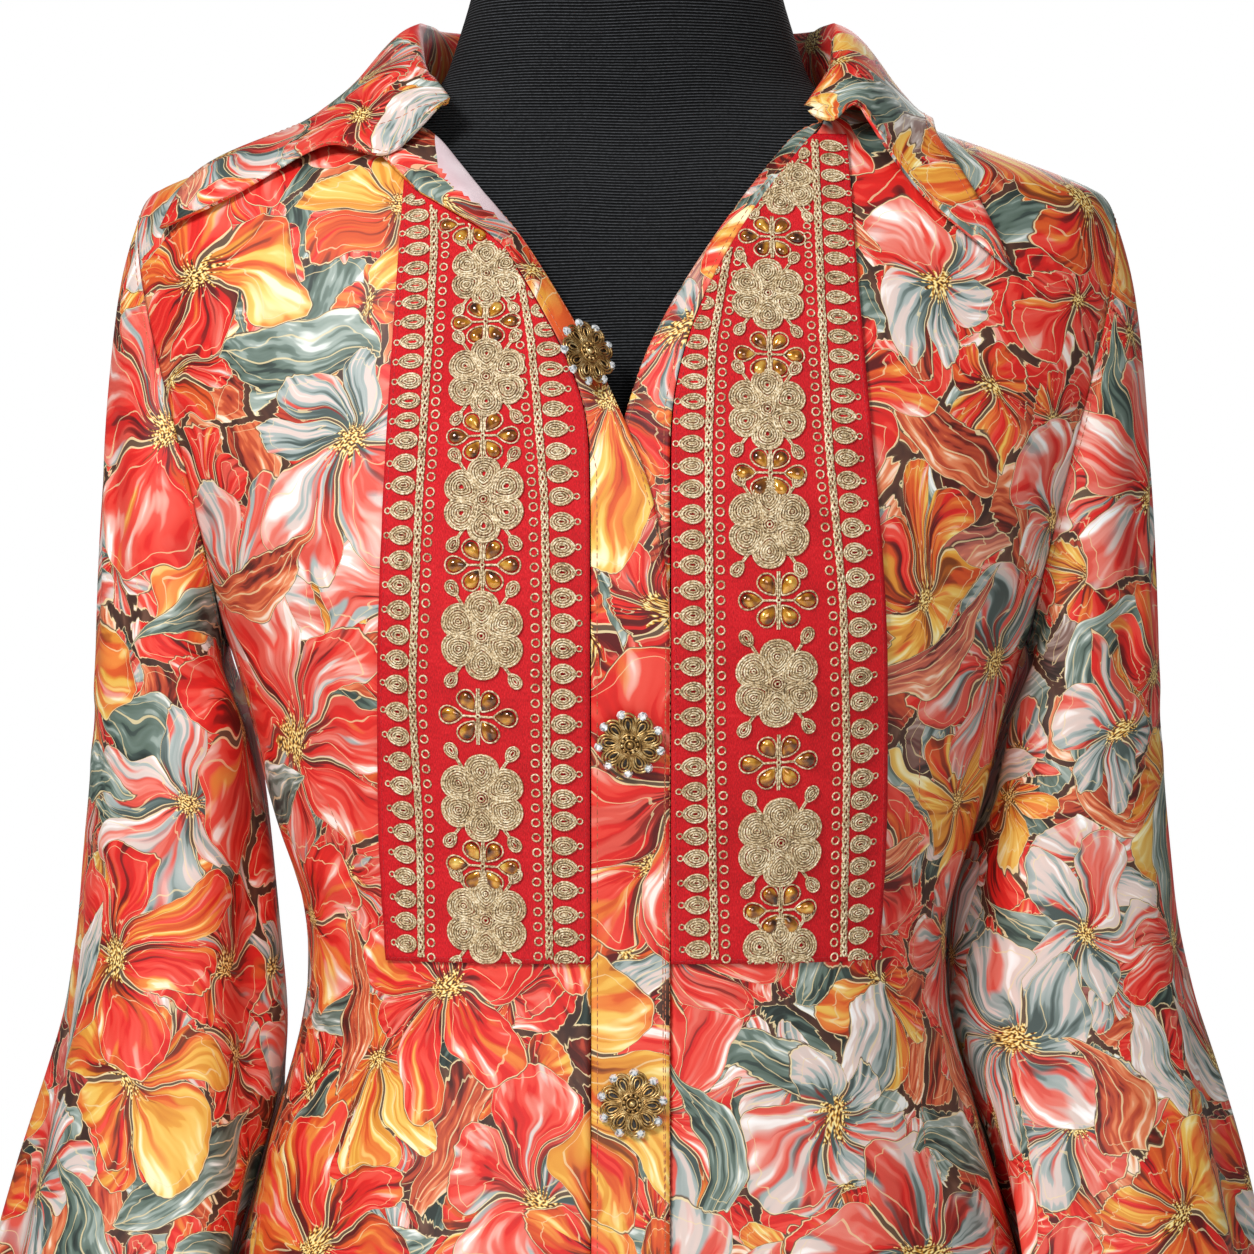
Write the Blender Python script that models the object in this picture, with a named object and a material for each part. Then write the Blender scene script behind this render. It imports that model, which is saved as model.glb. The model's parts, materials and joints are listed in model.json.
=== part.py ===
"""A fitted, button-through embroidered shirt on a limbless dress form with a short stand.

The shirt is cut and sewn as walls of cloth over one torso surface: two fronts, a back, two bell
sleeves, a button band over an under band, a collar, two embroidered panels with raised flowers, and
jewelled buttons. The form, its pole and its base carry it. Blender works in metres with +Z up; the
sizes below are millimetres, with heights measured from the waist. The front faces -Y.
"""

import math
from collections import namedtuple

import bmesh
import bpy
import numpy as np
from mathutils import Matrix, Vector

MM = 0.001
WAIST_HEIGHT = 400.0

# Cloth
CLOTH = 1.2
BAND_CLOTH = 1.4
COLLAR_CLOTH = 1.6
SEAM_GAP = 0.3
SQUARENESS = 2.3
SIDE_Y = 8.0

# Heights of the garment's lines
HEM = -240.0
ARMPIT = 120.0
SHOULDER = 313.0
NECK = 352.0
V_POINT = 215.0
V_TOP = 337.0
PANEL_BOTTOM = -6.0
PANEL_TOP = 330.0
PANEL_LIFT = 0.6
PANEL_EDGE_GAP = 0.1

# Front opening: the bands' rolled edges above the V, and how far the fronts tuck under them
BAND_ROLL = 7.0
BAND_ROLL_RUN = 50.0
BAND_OVERLAP = 0.4
TUCK = 1.2
TUCK_START = 10.0
TUCK_RUN = 60.0
NECK_END = 81.0

# Grid steps
BODY_ROWS = 15
ARMHOLE_ROWS = 12
FRONT_COLUMNS = 10
BACK_COLUMNS = 16
BAND_COLUMNS = 4
PANEL_COLUMNS = 6
FORM_COLUMNS = 28

# Soft folds at the hem
RIPPLE = 2.6
RIPPLE_COUNT = 9
RIPPLE_START = -30.0
RIPPLE_RUN = 200.0

# Armhole: how far the cut runs in from the side line, in degrees round the torso
FRONT_ARMHOLE = 23.0
BACK_ARMHOLE = 25.0

# Buttons
BUTTON_RADIUS = 14.2
BUTTON_HEIGHT = 4.2
BUTTON_LOBES = 8
BUTTON_LOBE_DEPTH = 0.07
BUTTON_PROFILE = ((0.2, 0.0), (0.86, 0.0), (1.0, 0.9), (0.94, 2.2), (0.45, 2.6))
BUTTON_SHANK = 6.4
FLAT_SHANK = 0.8
BUTTON_SEAT = 1.2
TILTED_LIFT = 4.4

# Stand
BASE_RADIUS = 140.0
BASE_HEIGHT = 12.0
POLE_RADIUS = 12.5
SOCKET_RADIUS = 21.0
SOCKET_HEIGHT = 16.0
FORM_BOTTOM = -262.0

Material = namedtuple("Material", "name colour roughness metallic")
PRINT = Material("printed_cloth", (0.78, 0.28, 0.17), 0.6, 0.0)
RED = Material("red_ribbon", (0.72, 0.03, 0.04), 0.75, 0.0)
THREAD = Material("gold_thread", (0.55, 0.42, 0.24), 0.5, 0.1)
JEWEL = Material("button_metal", (0.30, 0.20, 0.09), 0.35, 0.9)
BLACK = Material("form_jersey", (0.012, 0.012, 0.014), 0.85, 0.0)
STEEL = Material("stand_metal", (0.05, 0.05, 0.055), 0.35, 0.9)

Girth = namedtuple("Girth", "rise half_width front back")
GARMENT = (
    Girth(-240, 188, 121, 121),
    Girth(-190, 178, 116, 117),
    Girth(-134, 164, 109, 110),
    Girth(-97, 154, 103.5, 104),
    Girth(-57, 142, 98.5, 96),
    Girth(-20, 133.5, 95.5, 88),
    Girth(8, 134, 96, 87),
    Girth(35, 143.5, 101, 89),
    Girth(66, 153, 109, 92),
    Girth(103, 161, 119, 96),
    Girth(129, 170, 124, 99),
    Girth(160, 182, 125, 102),
    Girth(200, 196, 119, 105),
    Girth(240, 207, 108, 106),
    Girth(275, 211, 94, 103),
    Girth(300, 208, 81, 97),
    Girth(313, 198, 74, 93),
    Girth(321, 178, 69.5, 89),
    Girth(331, 149, 64, 84),
    Girth(341, 120, 58.5, 79),
    Girth(352, 88, 53, 74),
)
FORM = (
    Girth(-262, 158, 98, 100),
    Girth(-200, 160, 100, 104),
    Girth(-134, 150, 97, 100),
    Girth(-97, 143, 94, 95),
    Girth(-57, 133, 90, 88),
    Girth(-20, 126, 87, 80),
    Girth(8, 126, 87, 79),
    Girth(35, 134, 91, 81),
    Girth(66, 144, 99, 84),
    Girth(103, 152, 108, 88),
    Girth(129, 158, 112, 91),
    Girth(160, 164, 110, 94),
    Girth(200, 172, 102, 97),
    Girth(240, 179, 90, 97),
    Girth(275, 182, 77, 92),
    Girth(300, 182, 66, 88),
    Girth(311, 179, 61.5, 89),
    Girth(319.5, 170.5, 56.5, 87),
    Girth(329.5, 147, 52, 82),
    Girth(339.5, 117.5, 48, 76.8),
    Girth(347, 94, 47.3, 70),
    Girth(353, 82.5, 46.8, 65.5),
    Girth(360, 76.5, 46.5, 61.5),
    Girth(375, 72, 45.5, 58),
    Girth(393, 66, 45, 55),
    Girth(420, 60, 44.5, 52),
    Girth(444, 57.5, 44, 51),
)
NECK_DOME = 14.0
NECK_DOME_ANGLES = (30, 55, 75)

# The V of the neck. The right front folds over the left, so each side has its own free edge.
NeckEdge = namedtuple("NeckEdge", "rise edge seam")
RIGHT_EDGE = (
    NeckEdge(-240, 17, -14.6),
    NeckEdge(130, 17, -14.6),
    NeckEdge(160, 14.5, -14.6),
    NeckEdge(188, 8.5, -14.8),
    NeckEdge(215, -2.5, -15.5),
    NeckEdge(235, -11, -23),
    NeckEdge(254, -21, -33),
    NeckEdge(275, -33, -45),
    NeckEdge(294, -45, -57),
    NeckEdge(315, -60, -72),
    NeckEdge(337, -76, -88),
)
LEFT_EDGE = (
    NeckEdge(-240, -14, 17.4),
    NeckEdge(130, -14, 17.4),
    NeckEdge(188, -8, 17.4),
    NeckEdge(215, -0.5, 17.6),
    NeckEdge(235, 5, 21),
    NeckEdge(256, 14, 28),
    NeckEdge(277, 26, 38),
    NeckEdge(298, 40, 51),
    NeckEdge(317, 54, 65),
    NeckEdge(337, 70, 81),
)

# Outer edges of the embroidered panels
PanelEdge = namedtuple("PanelEdge", "rise right left")
PANEL_EDGE = (
    PanelEdge(-6, -97, 101.5),
    PanelEdge(50, -99.5, 104),
    PanelEdge(100, -99.5, 104),
    PanelEdge(150, -98, 102),
    PanelEdge(200, -96, 98),
    PanelEdge(250, -93.5, 94),
    PanelEdge(300, -91, 91),
    PanelEdge(331, -89.5, 89.5),
)

# Collar: lines that run from the centre back to each front end. Both ends share the back half.
Station = namedtuple("Station", "along seam roll fall bend lower edge")
COLLAR_BACK = (
    Station(
        0.0, (0, 72.5, 353), (0, 79, 387), (0, 91, 383),
        (0, 98, 368), (0, 103, 352), (0, 106, 338),
    ),
    Station(
        0.2, (56, 62, 353), (60, 67, 386), (67, 76, 381),
        (74, 83, 366), (79, 88, 349), (83, 91, 335),
    ),
    Station(
        0.34, (77, 44, 353), (79, 46, 385), (88, 52, 380),
        (98, 57, 365), (106, 61, 350), (113, 64, 338),
    ),
    Station(
        0.47, (88, 12, 353), (88, 12, 384), (98, 12, 378),
        (110, 12, 362), (119, 12, 350), (127, 12, 342),
    ),
)
COLLAR_RIGHT = (
    Station(
        0.74, (86, -22, 352), (86, -28, 364), (99, -36, 356),
        (115, -34, 346), (137, -27, 333), (156, -18, 325),
    ),
    Station(
        1.0, (76, -54, 337), (77, -63, 342), (97, -68, 320),
        (121, -55, 330), (156, -50, 303), (191, -40, 293),
    ),
)
COLLAR_LEFT = (
    Station(
        0.74, (86, -22, 352), (87, -28, 367), (96, -36, 362),
        (106, -34, 351), (117, -36, 339), (126, -38, 331),
    ),
    Station(
        1.0, (72, -54, 335), (73, -61, 340), (84, -67, 335),
        (94, -63, 344), (119, -69, 303), (157, -72, 274),
    ),
)
COLLAR_STEPS = 17
LINE_PLACES = (0.0, 0.24, 0.36, 0.56, 0.78, 1.0)
COLLAR_ROWS = (0, 0.08, 0.16, 0.24, 0.30, 0.36, 0.46, 0.56, 0.67, 0.78, 0.89, 1.0)
COLLAR_CLEARANCE = 3.8
STAND_CLEARANCE = 1.6

# Sleeves: sections below the armhole, as distances out from the middle and along Y
Cuff = namedtuple("Cuff", "rise outer inner front back flute")
RIGHT_SLEEVE = (
    Cuff(82, 225, 152, -44, 72, 0.0),
    Cuff(48, 228, 150, -44, 74, 0.5),
    Cuff(12, 231, 148, -44, 75, 1.0),
    Cuff(-18, 233, 145, -45, 76, 1.4),
    Cuff(-45, 239, 142, -48, 79, 2.5),
    Cuff(-90, 252, 137, -53, 86, 4.0),
    Cuff(-134, 264, 134, -58, 93, 5.5),
    Cuff(-190, 278, 132, -64, 101, 7.0),
    Cuff(-250, 292, 130, -70, 108, 8.5),
)
LEFT_SLEEVE = (
    Cuff(82, 226, 146, -36, 76, 0.0),
    Cuff(48, 229, 136, -32, 82, 0.5),
    Cuff(12, 233, 127, -28, 88, 1.0),
    Cuff(-18, 237, 122, -28, 92, 1.4),
    Cuff(-45, 246, 121, -30, 96, 2.5),
    Cuff(-90, 258, 124, -38, 102, 4.0),
    Cuff(-134, 267, 130, -46, 107, 5.5),
    Cuff(-190, 279, 134, -56, 112, 7.0),
    Cuff(-250, 291, 136, -64, 118, 8.5),
)
SLEEVE_RINGS = 12
SLEEVE_CAP_RINGS = 6
SLEEVE_FLUTES = 6
SLEEVE_CLEARANCE = 4.0
HEM_CLEARANCE = 9.0
HEM_CLEARANCE_START = -80.0
HEM_CLEARANCE_RUN = 120.0
CAP_CLEARANCE = 1.4
CAP_CLEARANCE_GROWTH = 2.0
CAP_SPACING = 0.85
ARMHOLE_GAP = 1.0
ARMPIT_LIFT = 2.4

# How a sleeve's cap leaves the armhole and joins the first level ring: the reach at the shoulder
# and how much shorter it is at the armpit
LEAVE_REACH = 62.0
LEAVE_SHORTER = 34.0
ARRIVE_REACH = 80.0
ARRIVE_SHORTER = 55.0

# Buttons and the embroidered flowers
Button = namedtuple("Button", "name across rise tilt")
BUTTONS = (
    Button("button_1", -16.0, 236.0, 44.0),
    Button("button_2", 1.2, 84.0, 0.0),
    Button("button_3", 2.0, -62.0, 0.0),
    Button("button_4", 1.6, -208.0, 0.0),
)
Flower = namedtuple("Flower", "name across rise radius")
FLOWERS = (
    Flower("right_flower_1", -56.5, 11.5, 16.4),
    Flower("right_flower_2", -58.0, 61.0, 18.4),
    Flower("right_flower_3", -57.6, 126.0, 18.0),
    Flower("right_flower_4", -56.8, 180.0, 17.4),
    Flower("right_flower_5", -56.0, 229.0, 16.6),
    Flower("right_flower_6", -56.4, 271.0, 14.6),
    Flower("left_flower_1", 61.5, 43.0, 18.4),
    Flower("left_flower_2", 59.6, 107.0, 18.2),
    Flower("left_flower_3", 56.4, 170.0, 17.6),
    Flower("left_flower_4", 55.8, 216.0, 16.8),
    Flower("left_flower_5", 56.4, 263.0, 15.4),
)
FLOWER_PETALS = 6
FLOWER_HEIGHT = 0.9
FLOWER_LIFT = 0.9


def smooth_between(places, values, at):
    """A monotone cubic through a table's values, so nothing overshoots between its rows."""
    places = np.asarray(places, float)
    values = np.asarray(values, float)
    at = np.clip(np.asarray(at, float), places[0], places[-1])
    steps = np.diff(places)
    slopes = np.diff(values) / steps
    tangents = np.zeros(len(places))
    tangents[0], tangents[-1] = slopes[0], slopes[-1]
    for i in range(1, len(places) - 1):
        before, after = slopes[i - 1], slopes[i]
        if before * after > 0:
            weight_1 = 2 * steps[i] + steps[i - 1]
            weight_2 = steps[i] + 2 * steps[i - 1]
            tangents[i] = (weight_1 + weight_2) / (weight_1 / before + weight_2 / after)
    index = np.clip(np.searchsorted(places, at, side="right") - 1, 0, len(steps) - 1)
    width = steps[index]
    t = (at - places[index]) / width
    return (
        (2 * t**3 - 3 * t**2 + 1) * values[index]
        + (t**3 - 2 * t**2 + t) * width * tangents[index]
        + (3 * t**2 - 2 * t**3) * values[index + 1]
        + (t**3 - t**2) * width * tangents[index + 1]
    )


def column(table, name, at):
    """One named column of a table, read smoothly at any height."""
    rows = sorted(table, key=lambda row: row[0])
    return smooth_between([row[0] for row in rows], [getattr(row, name) for row in rows], at)


def ease(value):
    """0 to 1 with a soft start and end."""
    t = np.clip(value, 0.0, 1.0)
    return t * t * (3 - 2 * t)


def fullness(points):
    """Below 1 inside the garment's torso, 1 on it, above 1 outside."""
    x, y, z = points[..., 0], points[..., 1], points[..., 2]
    half = column(GARMENT, "half_width", z)
    front = column(GARMENT, "front", z) + SIDE_Y
    back = column(GARMENT, "back", z) - SIDE_Y
    depth = np.where(y < SIDE_Y, front, back)
    return (np.abs(x / half) ** SQUARENESS + np.abs((y - SIDE_Y) / depth) ** SQUARENESS) ** (1 / SQUARENESS)


def slope_of(points):
    """The gradient of fullness, by central differences."""
    step = 0.4
    parts = []
    for axis in range(3):
        move = np.zeros(3)
        move[axis] = step
        parts.append((fullness(points + move) - fullness(points - move)) / (2 * step))
    return np.stack(parts, axis=-1)


def outward(points):
    """Unit normals of the torso surface at or near these points."""
    gradient = slope_of(points)
    return gradient / np.linalg.norm(gradient, axis=-1, keepdims=True)


def kept_clear(points, least):
    """Moves points that lie nearer to the torso than least straight out from it."""
    moved = np.array(points, float)
    for _ in range(3):
        gradient = slope_of(moved)
        steepness = np.linalg.norm(gradient, axis=-1)
        distance = (fullness(moved) - 1) / steepness
        short = np.clip(least - distance, 0, None)
        moved += gradient / steepness[..., None] * short[..., None]
    return moved


def ripple(angle, rise):
    """Soft vertical folds that grow towards the hem and die out at the centre lines."""
    size = RIPPLE * ease((RIPPLE_START - rise) / RIPPLE_RUN)
    return size * np.cos(RIPPLE_COUNT * angle) * np.sin(angle) ** 2


def torso_point(turn, rise):
    """A point on the garment's surface: turn is 0 at the centre front and 90 degrees at the side."""
    turn, rise = np.broadcast_arrays(np.asarray(turn, float), np.asarray(rise, float))
    power = 2 / SQUARENESS
    half = column(GARMENT, "half_width", rise)
    front = column(GARMENT, "front", rise) + SIDE_Y
    back = column(GARMENT, "back", rise) - SIDE_Y
    cosine = np.cos(turn)
    x = half * np.sign(np.sin(turn)) * np.abs(np.sin(turn)) ** power
    y = SIDE_Y - np.where(cosine > 0, front, back) * np.sign(cosine) * np.abs(cosine) ** power
    return np.stack([x, y, rise], axis=-1)


def turn_at(across, rise):
    """The turn at which the front surface is this far across."""
    share = np.clip(np.abs(across) / column(GARMENT, "half_width", rise), 0, 1)
    return np.sign(across) * np.arcsin(share ** (SQUARENESS / 2))


def on_torso(turn, rise, offset):
    """Points at a distance out from the surface, with the garment's soft folds."""
    points = torso_point(turn, rise)
    lift = np.asarray(offset, float) + ripple(turn, points[..., 2])
    return points + outward(points) * lift[..., None]


def material(spec):
    """A Principled material with the part's colour, roughness and metal."""
    found = bpy.data.materials.get(spec.name)
    if found:
        return found
    made = bpy.data.materials.new(spec.name)
    made.use_nodes = True
    shader = made.node_tree.nodes["Principled BSDF"]
    shader.inputs["Base Color"].default_value = (*spec.colour, 1.0)
    shader.inputs["Roughness"].default_value = spec.roughness
    shader.inputs["Metallic"].default_value = spec.metallic
    made.diffuse_color = (*spec.colour, 1.0)
    return made


def placed(points):
    """Millimetres above the waist, as metres above the floor."""
    return (np.asarray(points, float) + (0, 0, WAIST_HEIGHT)) * MM


def finish(name, mesh, spec, smooth=True):
    """Turns a bmesh into a named object with its material."""
    bmesh.ops.recalc_face_normals(mesh, faces=mesh.faces)
    data = bpy.data.meshes.new(name)
    mesh.to_mesh(data)
    mesh.free()
    if smooth:
        data.shade_smooth()
        data.set_sharp_from_angle(angle=math.radians(40))
    data.materials.append(material(spec))
    made = bpy.data.objects.new(name, data)
    bpy.context.scene.collection.objects.link(made)
    return made


def cloth_wall(name, inner, outer, spec, tube=False):
    """A closed wall of cloth between two grids of points; a tube also closes round its columns."""
    mesh = bmesh.new()
    sides = [[[mesh.verts.new(p) for p in row] for row in placed(grid)] for grid in (inner, outer)]
    rows, columns = outer.shape[:2]
    spans = range(columns if tube else columns - 1)
    for side in sides:
        for r in range(rows - 1):
            for c in spans:
                n = (c + 1) % columns
                mesh.faces.new((side[r][c], side[r][n], side[r + 1][n], side[r + 1][c]))
    within, without = sides
    for r in (0, rows - 1):
        for c in spans:
            n = (c + 1) % columns
            mesh.faces.new((within[r][c], within[r][n], without[r][n], without[r][c]))
    if not tube:
        for c in (0, columns - 1):
            for r in range(rows - 1):
                mesh.faces.new((within[r][c], within[r + 1][c], without[r + 1][c], without[r][c]))
    return finish(name, mesh, spec)


def mirrored(points):
    """The same points on the other side of the body."""
    return np.asarray(points, float) * (-1, 1, 1)


def body_heights():
    """The heights of the fronts' and the back's rows, from the hem to the neck."""
    below = np.linspace(HEM, ARMPIT, BODY_ROWS)
    swing = (1 - np.cos(np.linspace(0, math.pi, ARMHOLE_ROWS + 1))) / 2
    armhole = ARMPIT + (SHOULDER - ARMPIT) * swing
    above = np.array([(SHOULDER + V_TOP) / 2, V_TOP, (V_TOP + NECK) / 2, NECK])
    return np.concatenate([below, armhole[1:], above])


def rows_between(low, high):
    """The fronts' rows between two heights, with the two heights themselves as the ends."""
    rows = body_heights()
    inside = rows[(rows > low + 2) & (rows < high - 2)]
    return np.concatenate([[low], inside, [high]])


def side_turn(rise, armhole_turn):
    """How far round the torso a panel reaches: to the side line, or to the armhole's cut."""
    share = np.clip((rise - ARMPIT) / (SHOULDER - ARMPIT), 0, 1)
    cut = math.radians(armhole_turn) * np.sqrt(4 * share * (1 - share))
    return math.pi / 2 - cut


def drawn_in(points, y_step):
    """Leaves the seam gap at the side and shoulder seams, along Y."""
    points[:, -1, 1] += y_step
    return points


def front(name, edges, sign):
    """One front: from its band's seam to the side seam, the armhole and the shoulder seam."""
    heights = body_heights()
    seam = column(edges, "seam", np.minimum(heights, V_TOP)) * sign
    seam += TUCK * ease((heights - TUCK_START) / TUCK_RUN)
    top = heights > V_TOP
    seam[top] += ease((heights[top] - V_TOP) / (NECK - V_TOP)) * (NECK_END - seam[top])
    start = turn_at(seam, heights)
    end = side_turn(heights, FRONT_ARMHOLE)
    share = np.linspace(0, 1, FRONT_COLUMNS + 1)
    turns = start[:, None] + (end - start)[:, None] * share
    rises = np.repeat(heights[:, None], len(share), axis=1)
    walls = [drawn_in(on_torso(turns, rises, lift), -SEAM_GAP / 2) for lift in (-CLOTH, 0.0)]
    if sign < 0:
        walls = [mirrored(wall) for wall in walls]
    return cloth_wall(name, walls[0], walls[1], PRINT)


def back_panel():
    """The back, from side seam to side seam, up to the neck seam."""
    heights = body_heights()
    reach = side_turn(heights, BACK_ARMHOLE)
    share = np.linspace(-1, 1, BACK_COLUMNS + 1)
    turns = math.pi + reach[:, None] * share
    rises = np.repeat(heights[:, None], len(share), axis=1)
    walls = []
    for lift in (-CLOTH, 0.0):
        grid = on_torso(turns, rises, lift)
        grid[:, 0, 1] += SEAM_GAP / 2
        grid[:, -1, 1] += SEAM_GAP / 2
        walls.append(grid)
    return cloth_wall("back", walls[0], walls[1], PRINT)


def armhole_loop():
    """The edge of the wearer's left armhole as turns and rises: shoulder, front, armpit, back."""
    heights = body_heights()
    inside = heights[(heights >= ARMPIT - 1e-6) & (heights <= SHOULDER + 1e-6)]
    down = inside[::-1]
    front_turn = side_turn(down, FRONT_ARMHOLE)
    back_turn = math.pi - side_turn(inside[1:-1], BACK_ARMHOLE)
    turns = np.concatenate([front_turn, back_turn])
    rises = np.concatenate([down, inside[1:-1]])
    return turns, rises


def sleeve_rings(table):
    """The sleeve's middle surface on the wearer's left, from the armhole to the hem of the bell."""
    turns, rises = armhole_loop()
    start = on_torso(turns, rises, -CLOTH / 2)
    normals = outward(torso_point(turns, rises))
    count = len(turns)
    around = np.arange(count) / count * 2 * math.pi
    low = (1 - np.cos(around)) / 2
    inward = start.mean(axis=0) - start
    inward -= normals * (inward * normals).sum(axis=1, keepdims=True)
    inward /= np.linalg.norm(inward, axis=1, keepdims=True)
    start = start + inward * ARMHOLE_GAP + normals * (ARMPIT_LIFT * low**6)[:, None]
    rises = np.linspace(table[0].rise, table[-1].rise, SLEEVE_RINGS)
    lower = [sleeve_section(table, around, rise) for rise in rises]
    aim = np.stack([np.full(count, 0.8), -0.28 * np.sin(around), -0.55 - 0.35 * low], axis=-1)
    leave = aim * (LEAVE_REACH - LEAVE_SHORTER * low)[:, None]
    arrive = np.tile((0, 0, -1.0), (count, 1)) * (ARRIVE_REACH - ARRIVE_SHORTER * low)[:, None]
    cap = []
    for t in np.linspace(0, 1, SLEEVE_CAP_RINGS + 1)[:-1]:
        t = t**CAP_SPACING
        cap.append(
            (2 * t**3 - 3 * t**2 + 1) * start
            + (t**3 - 2 * t**2 + t) * leave
            + (3 * t**2 - 2 * t**3) * lower[0]
            + (t**3 - t**2) * arrive
        )
    for k in range(1, len(cap)):
        cap[k] = kept_clear(cap[k], CAP_CLEARANCE + CAP_CLEARANCE_GROWTH * k / SLEEVE_CAP_RINGS)
    return np.array(cap + lower)


def sleeve_section(table, around, rise):
    """One level ring of the sleeve, resting clear of the body, with the bell's flutes."""
    outer, inner = column(table, "outer", rise), column(table, "inner", rise)
    ahead, behind = column(table, "front", rise), column(table, "back", rise)
    flute = column(table, "flute", rise)
    uneven = SLEEVE_FLUTES * around + 0.7 * np.sin(2 * around) + 0.4
    wave = flute * np.cos(uneven) * (0.7 + 0.3 * np.cos(around))
    half_x, half_y = (outer - inner) / 2, (behind - ahead) / 2
    x = (outer + inner) / 2 + (half_x + wave) * np.cos(around)
    y = (ahead + behind) / 2 - (half_y + wave) * np.sin(around)
    ring = np.stack([x, y, np.full(len(around), float(rise))], axis=-1)
    growth = ease((HEM_CLEARANCE_START - rise) / HEM_CLEARANCE_RUN)
    level = kept_clear(ring, SLEEVE_CLEARANCE + (HEM_CLEARANCE - SLEEVE_CLEARANCE) * growth)
    level[:, 2] = rise
    return level


def grid_normals(grid, tube):
    """Normals of a grid of points from its neighbours."""
    across = np.gradient(grid, axis=1)
    if tube:
        across = (np.roll(grid, -1, axis=1) - np.roll(grid, 1, axis=1)) / 2
    along = np.gradient(grid, axis=0)
    normals = np.cross(across, along)
    return normals / np.linalg.norm(normals, axis=-1, keepdims=True)


def sleeve(name, table, sign):
    """A bell sleeve, open at the armhole and at its hem."""
    rings = sleeve_rings(table)
    normals = grid_normals(rings, tube=True)
    normals[0] = 0.5 * normals[0] + 0.5 * normals[1]
    walls = [rings + normals * (lift * CLOTH / 2) for lift in (-1, 1)]
    if sign < 0:
        walls = [mirrored(wall) for wall in walls]
    return cloth_wall(name, walls[0], walls[1], PRINT, tube=True)


def band(name, edges, sign, low, high):
    """A front band from the hem to the neck. Above the V its free edge rolls inward."""
    heights = rows_between(HEM, V_TOP)
    free = column(edges, "edge", heights)
    sewn = column(edges, "seam", heights) - sign * BAND_OVERLAP
    share = np.linspace(0, 1, BAND_COLUMNS + 1)
    across = sewn[:, None] + (free - sewn)[:, None] * share
    rises = np.repeat(heights[:, None], len(share), axis=1)
    rolled = BAND_ROLL * ease((rises - V_POINT) / BAND_ROLL_RUN) * share**1.5
    turns = turn_at(across, rises)
    walls = [on_torso(turns, rises, lift - rolled) for lift in (low, high)]
    return cloth_wall(name, walls[0], walls[1], PRINT)


def panel_grid(side, sign):
    """Where an embroidered panel lies on its front: across and rise, row by row."""
    edges = RIGHT_EDGE if sign < 0 else LEFT_EDGE
    heights = rows_between(PANEL_BOTTOM, PANEL_TOP)
    seam = column(edges, "seam", heights) + sign * PANEL_EDGE_GAP
    outer = column(PANEL_EDGE, side, heights)
    share = np.linspace(0, 1, PANEL_COLUMNS + 1)
    across = seam[:, None] + (outer - seam)[:, None] * share
    return across, np.repeat(heights[:, None], len(share), axis=1)


def embroidered_panel(name, side, sign):
    """A ribbon panel laid over the front beside the opening, from the waist to the neck."""
    across, rises = panel_grid(side, sign)
    turns = turn_at(across, rises)
    walls = [on_torso(turns, rises, lift) for lift in (PANEL_LIFT, PANEL_LIFT + CLOTH)]
    return cloth_wall(name, walls[0], walls[1], RED)


def petal_reach(angle):
    """The outline of a six-petalled flower, as a share of its radius."""
    return 0.80 + 0.20 * abs(math.cos(FLOWER_PETALS / 2 * angle)) ** 0.7


def thread_flower(spec):
    """A flower of couched thread, raised on the panel: a flat back, a lobed side and a domed face."""
    rings = ((1.0, 0.0), (1.0, 0.45), (0.6, FLOWER_HEIGHT))
    steps = FLOWER_PETALS * 4
    seat = PANEL_LIFT + CLOTH + FLOWER_LIFT
    across, rise = spec.across, spec.rise
    mesh = bmesh.new()
    loops = []
    for share, lift in rings:
        angles = np.arange(steps) / steps * 2 * math.pi
        reach = np.array([petal_reach(a) for a in angles]) * spec.radius * share
        x = across + reach * np.sin(angles)
        z = rise + reach * np.cos(angles)
        points = on_torso(turn_at(x, z), z, seat + lift)
        loops.append([mesh.verts.new(p) for p in placed(points)])
    for lower, upper in zip(loops, loops[1:]):
        for k in range(steps):
            n = (k + 1) % steps
            mesh.faces.new((lower[k], lower[n], upper[n], upper[k]))
    for loop, lift in ((loops[0], 0.0), (loops[-1], 0.55 * FLOWER_HEIGHT)):
        middle = on_torso(turn_at(across, rise), rise, seat + lift)
        hub = mesh.verts.new(placed(middle))
        for k in range(steps):
            mesh.faces.new((loop[k], loop[(k + 1) % steps], hub))
    return finish(spec.name, mesh, THREAD)


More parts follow.
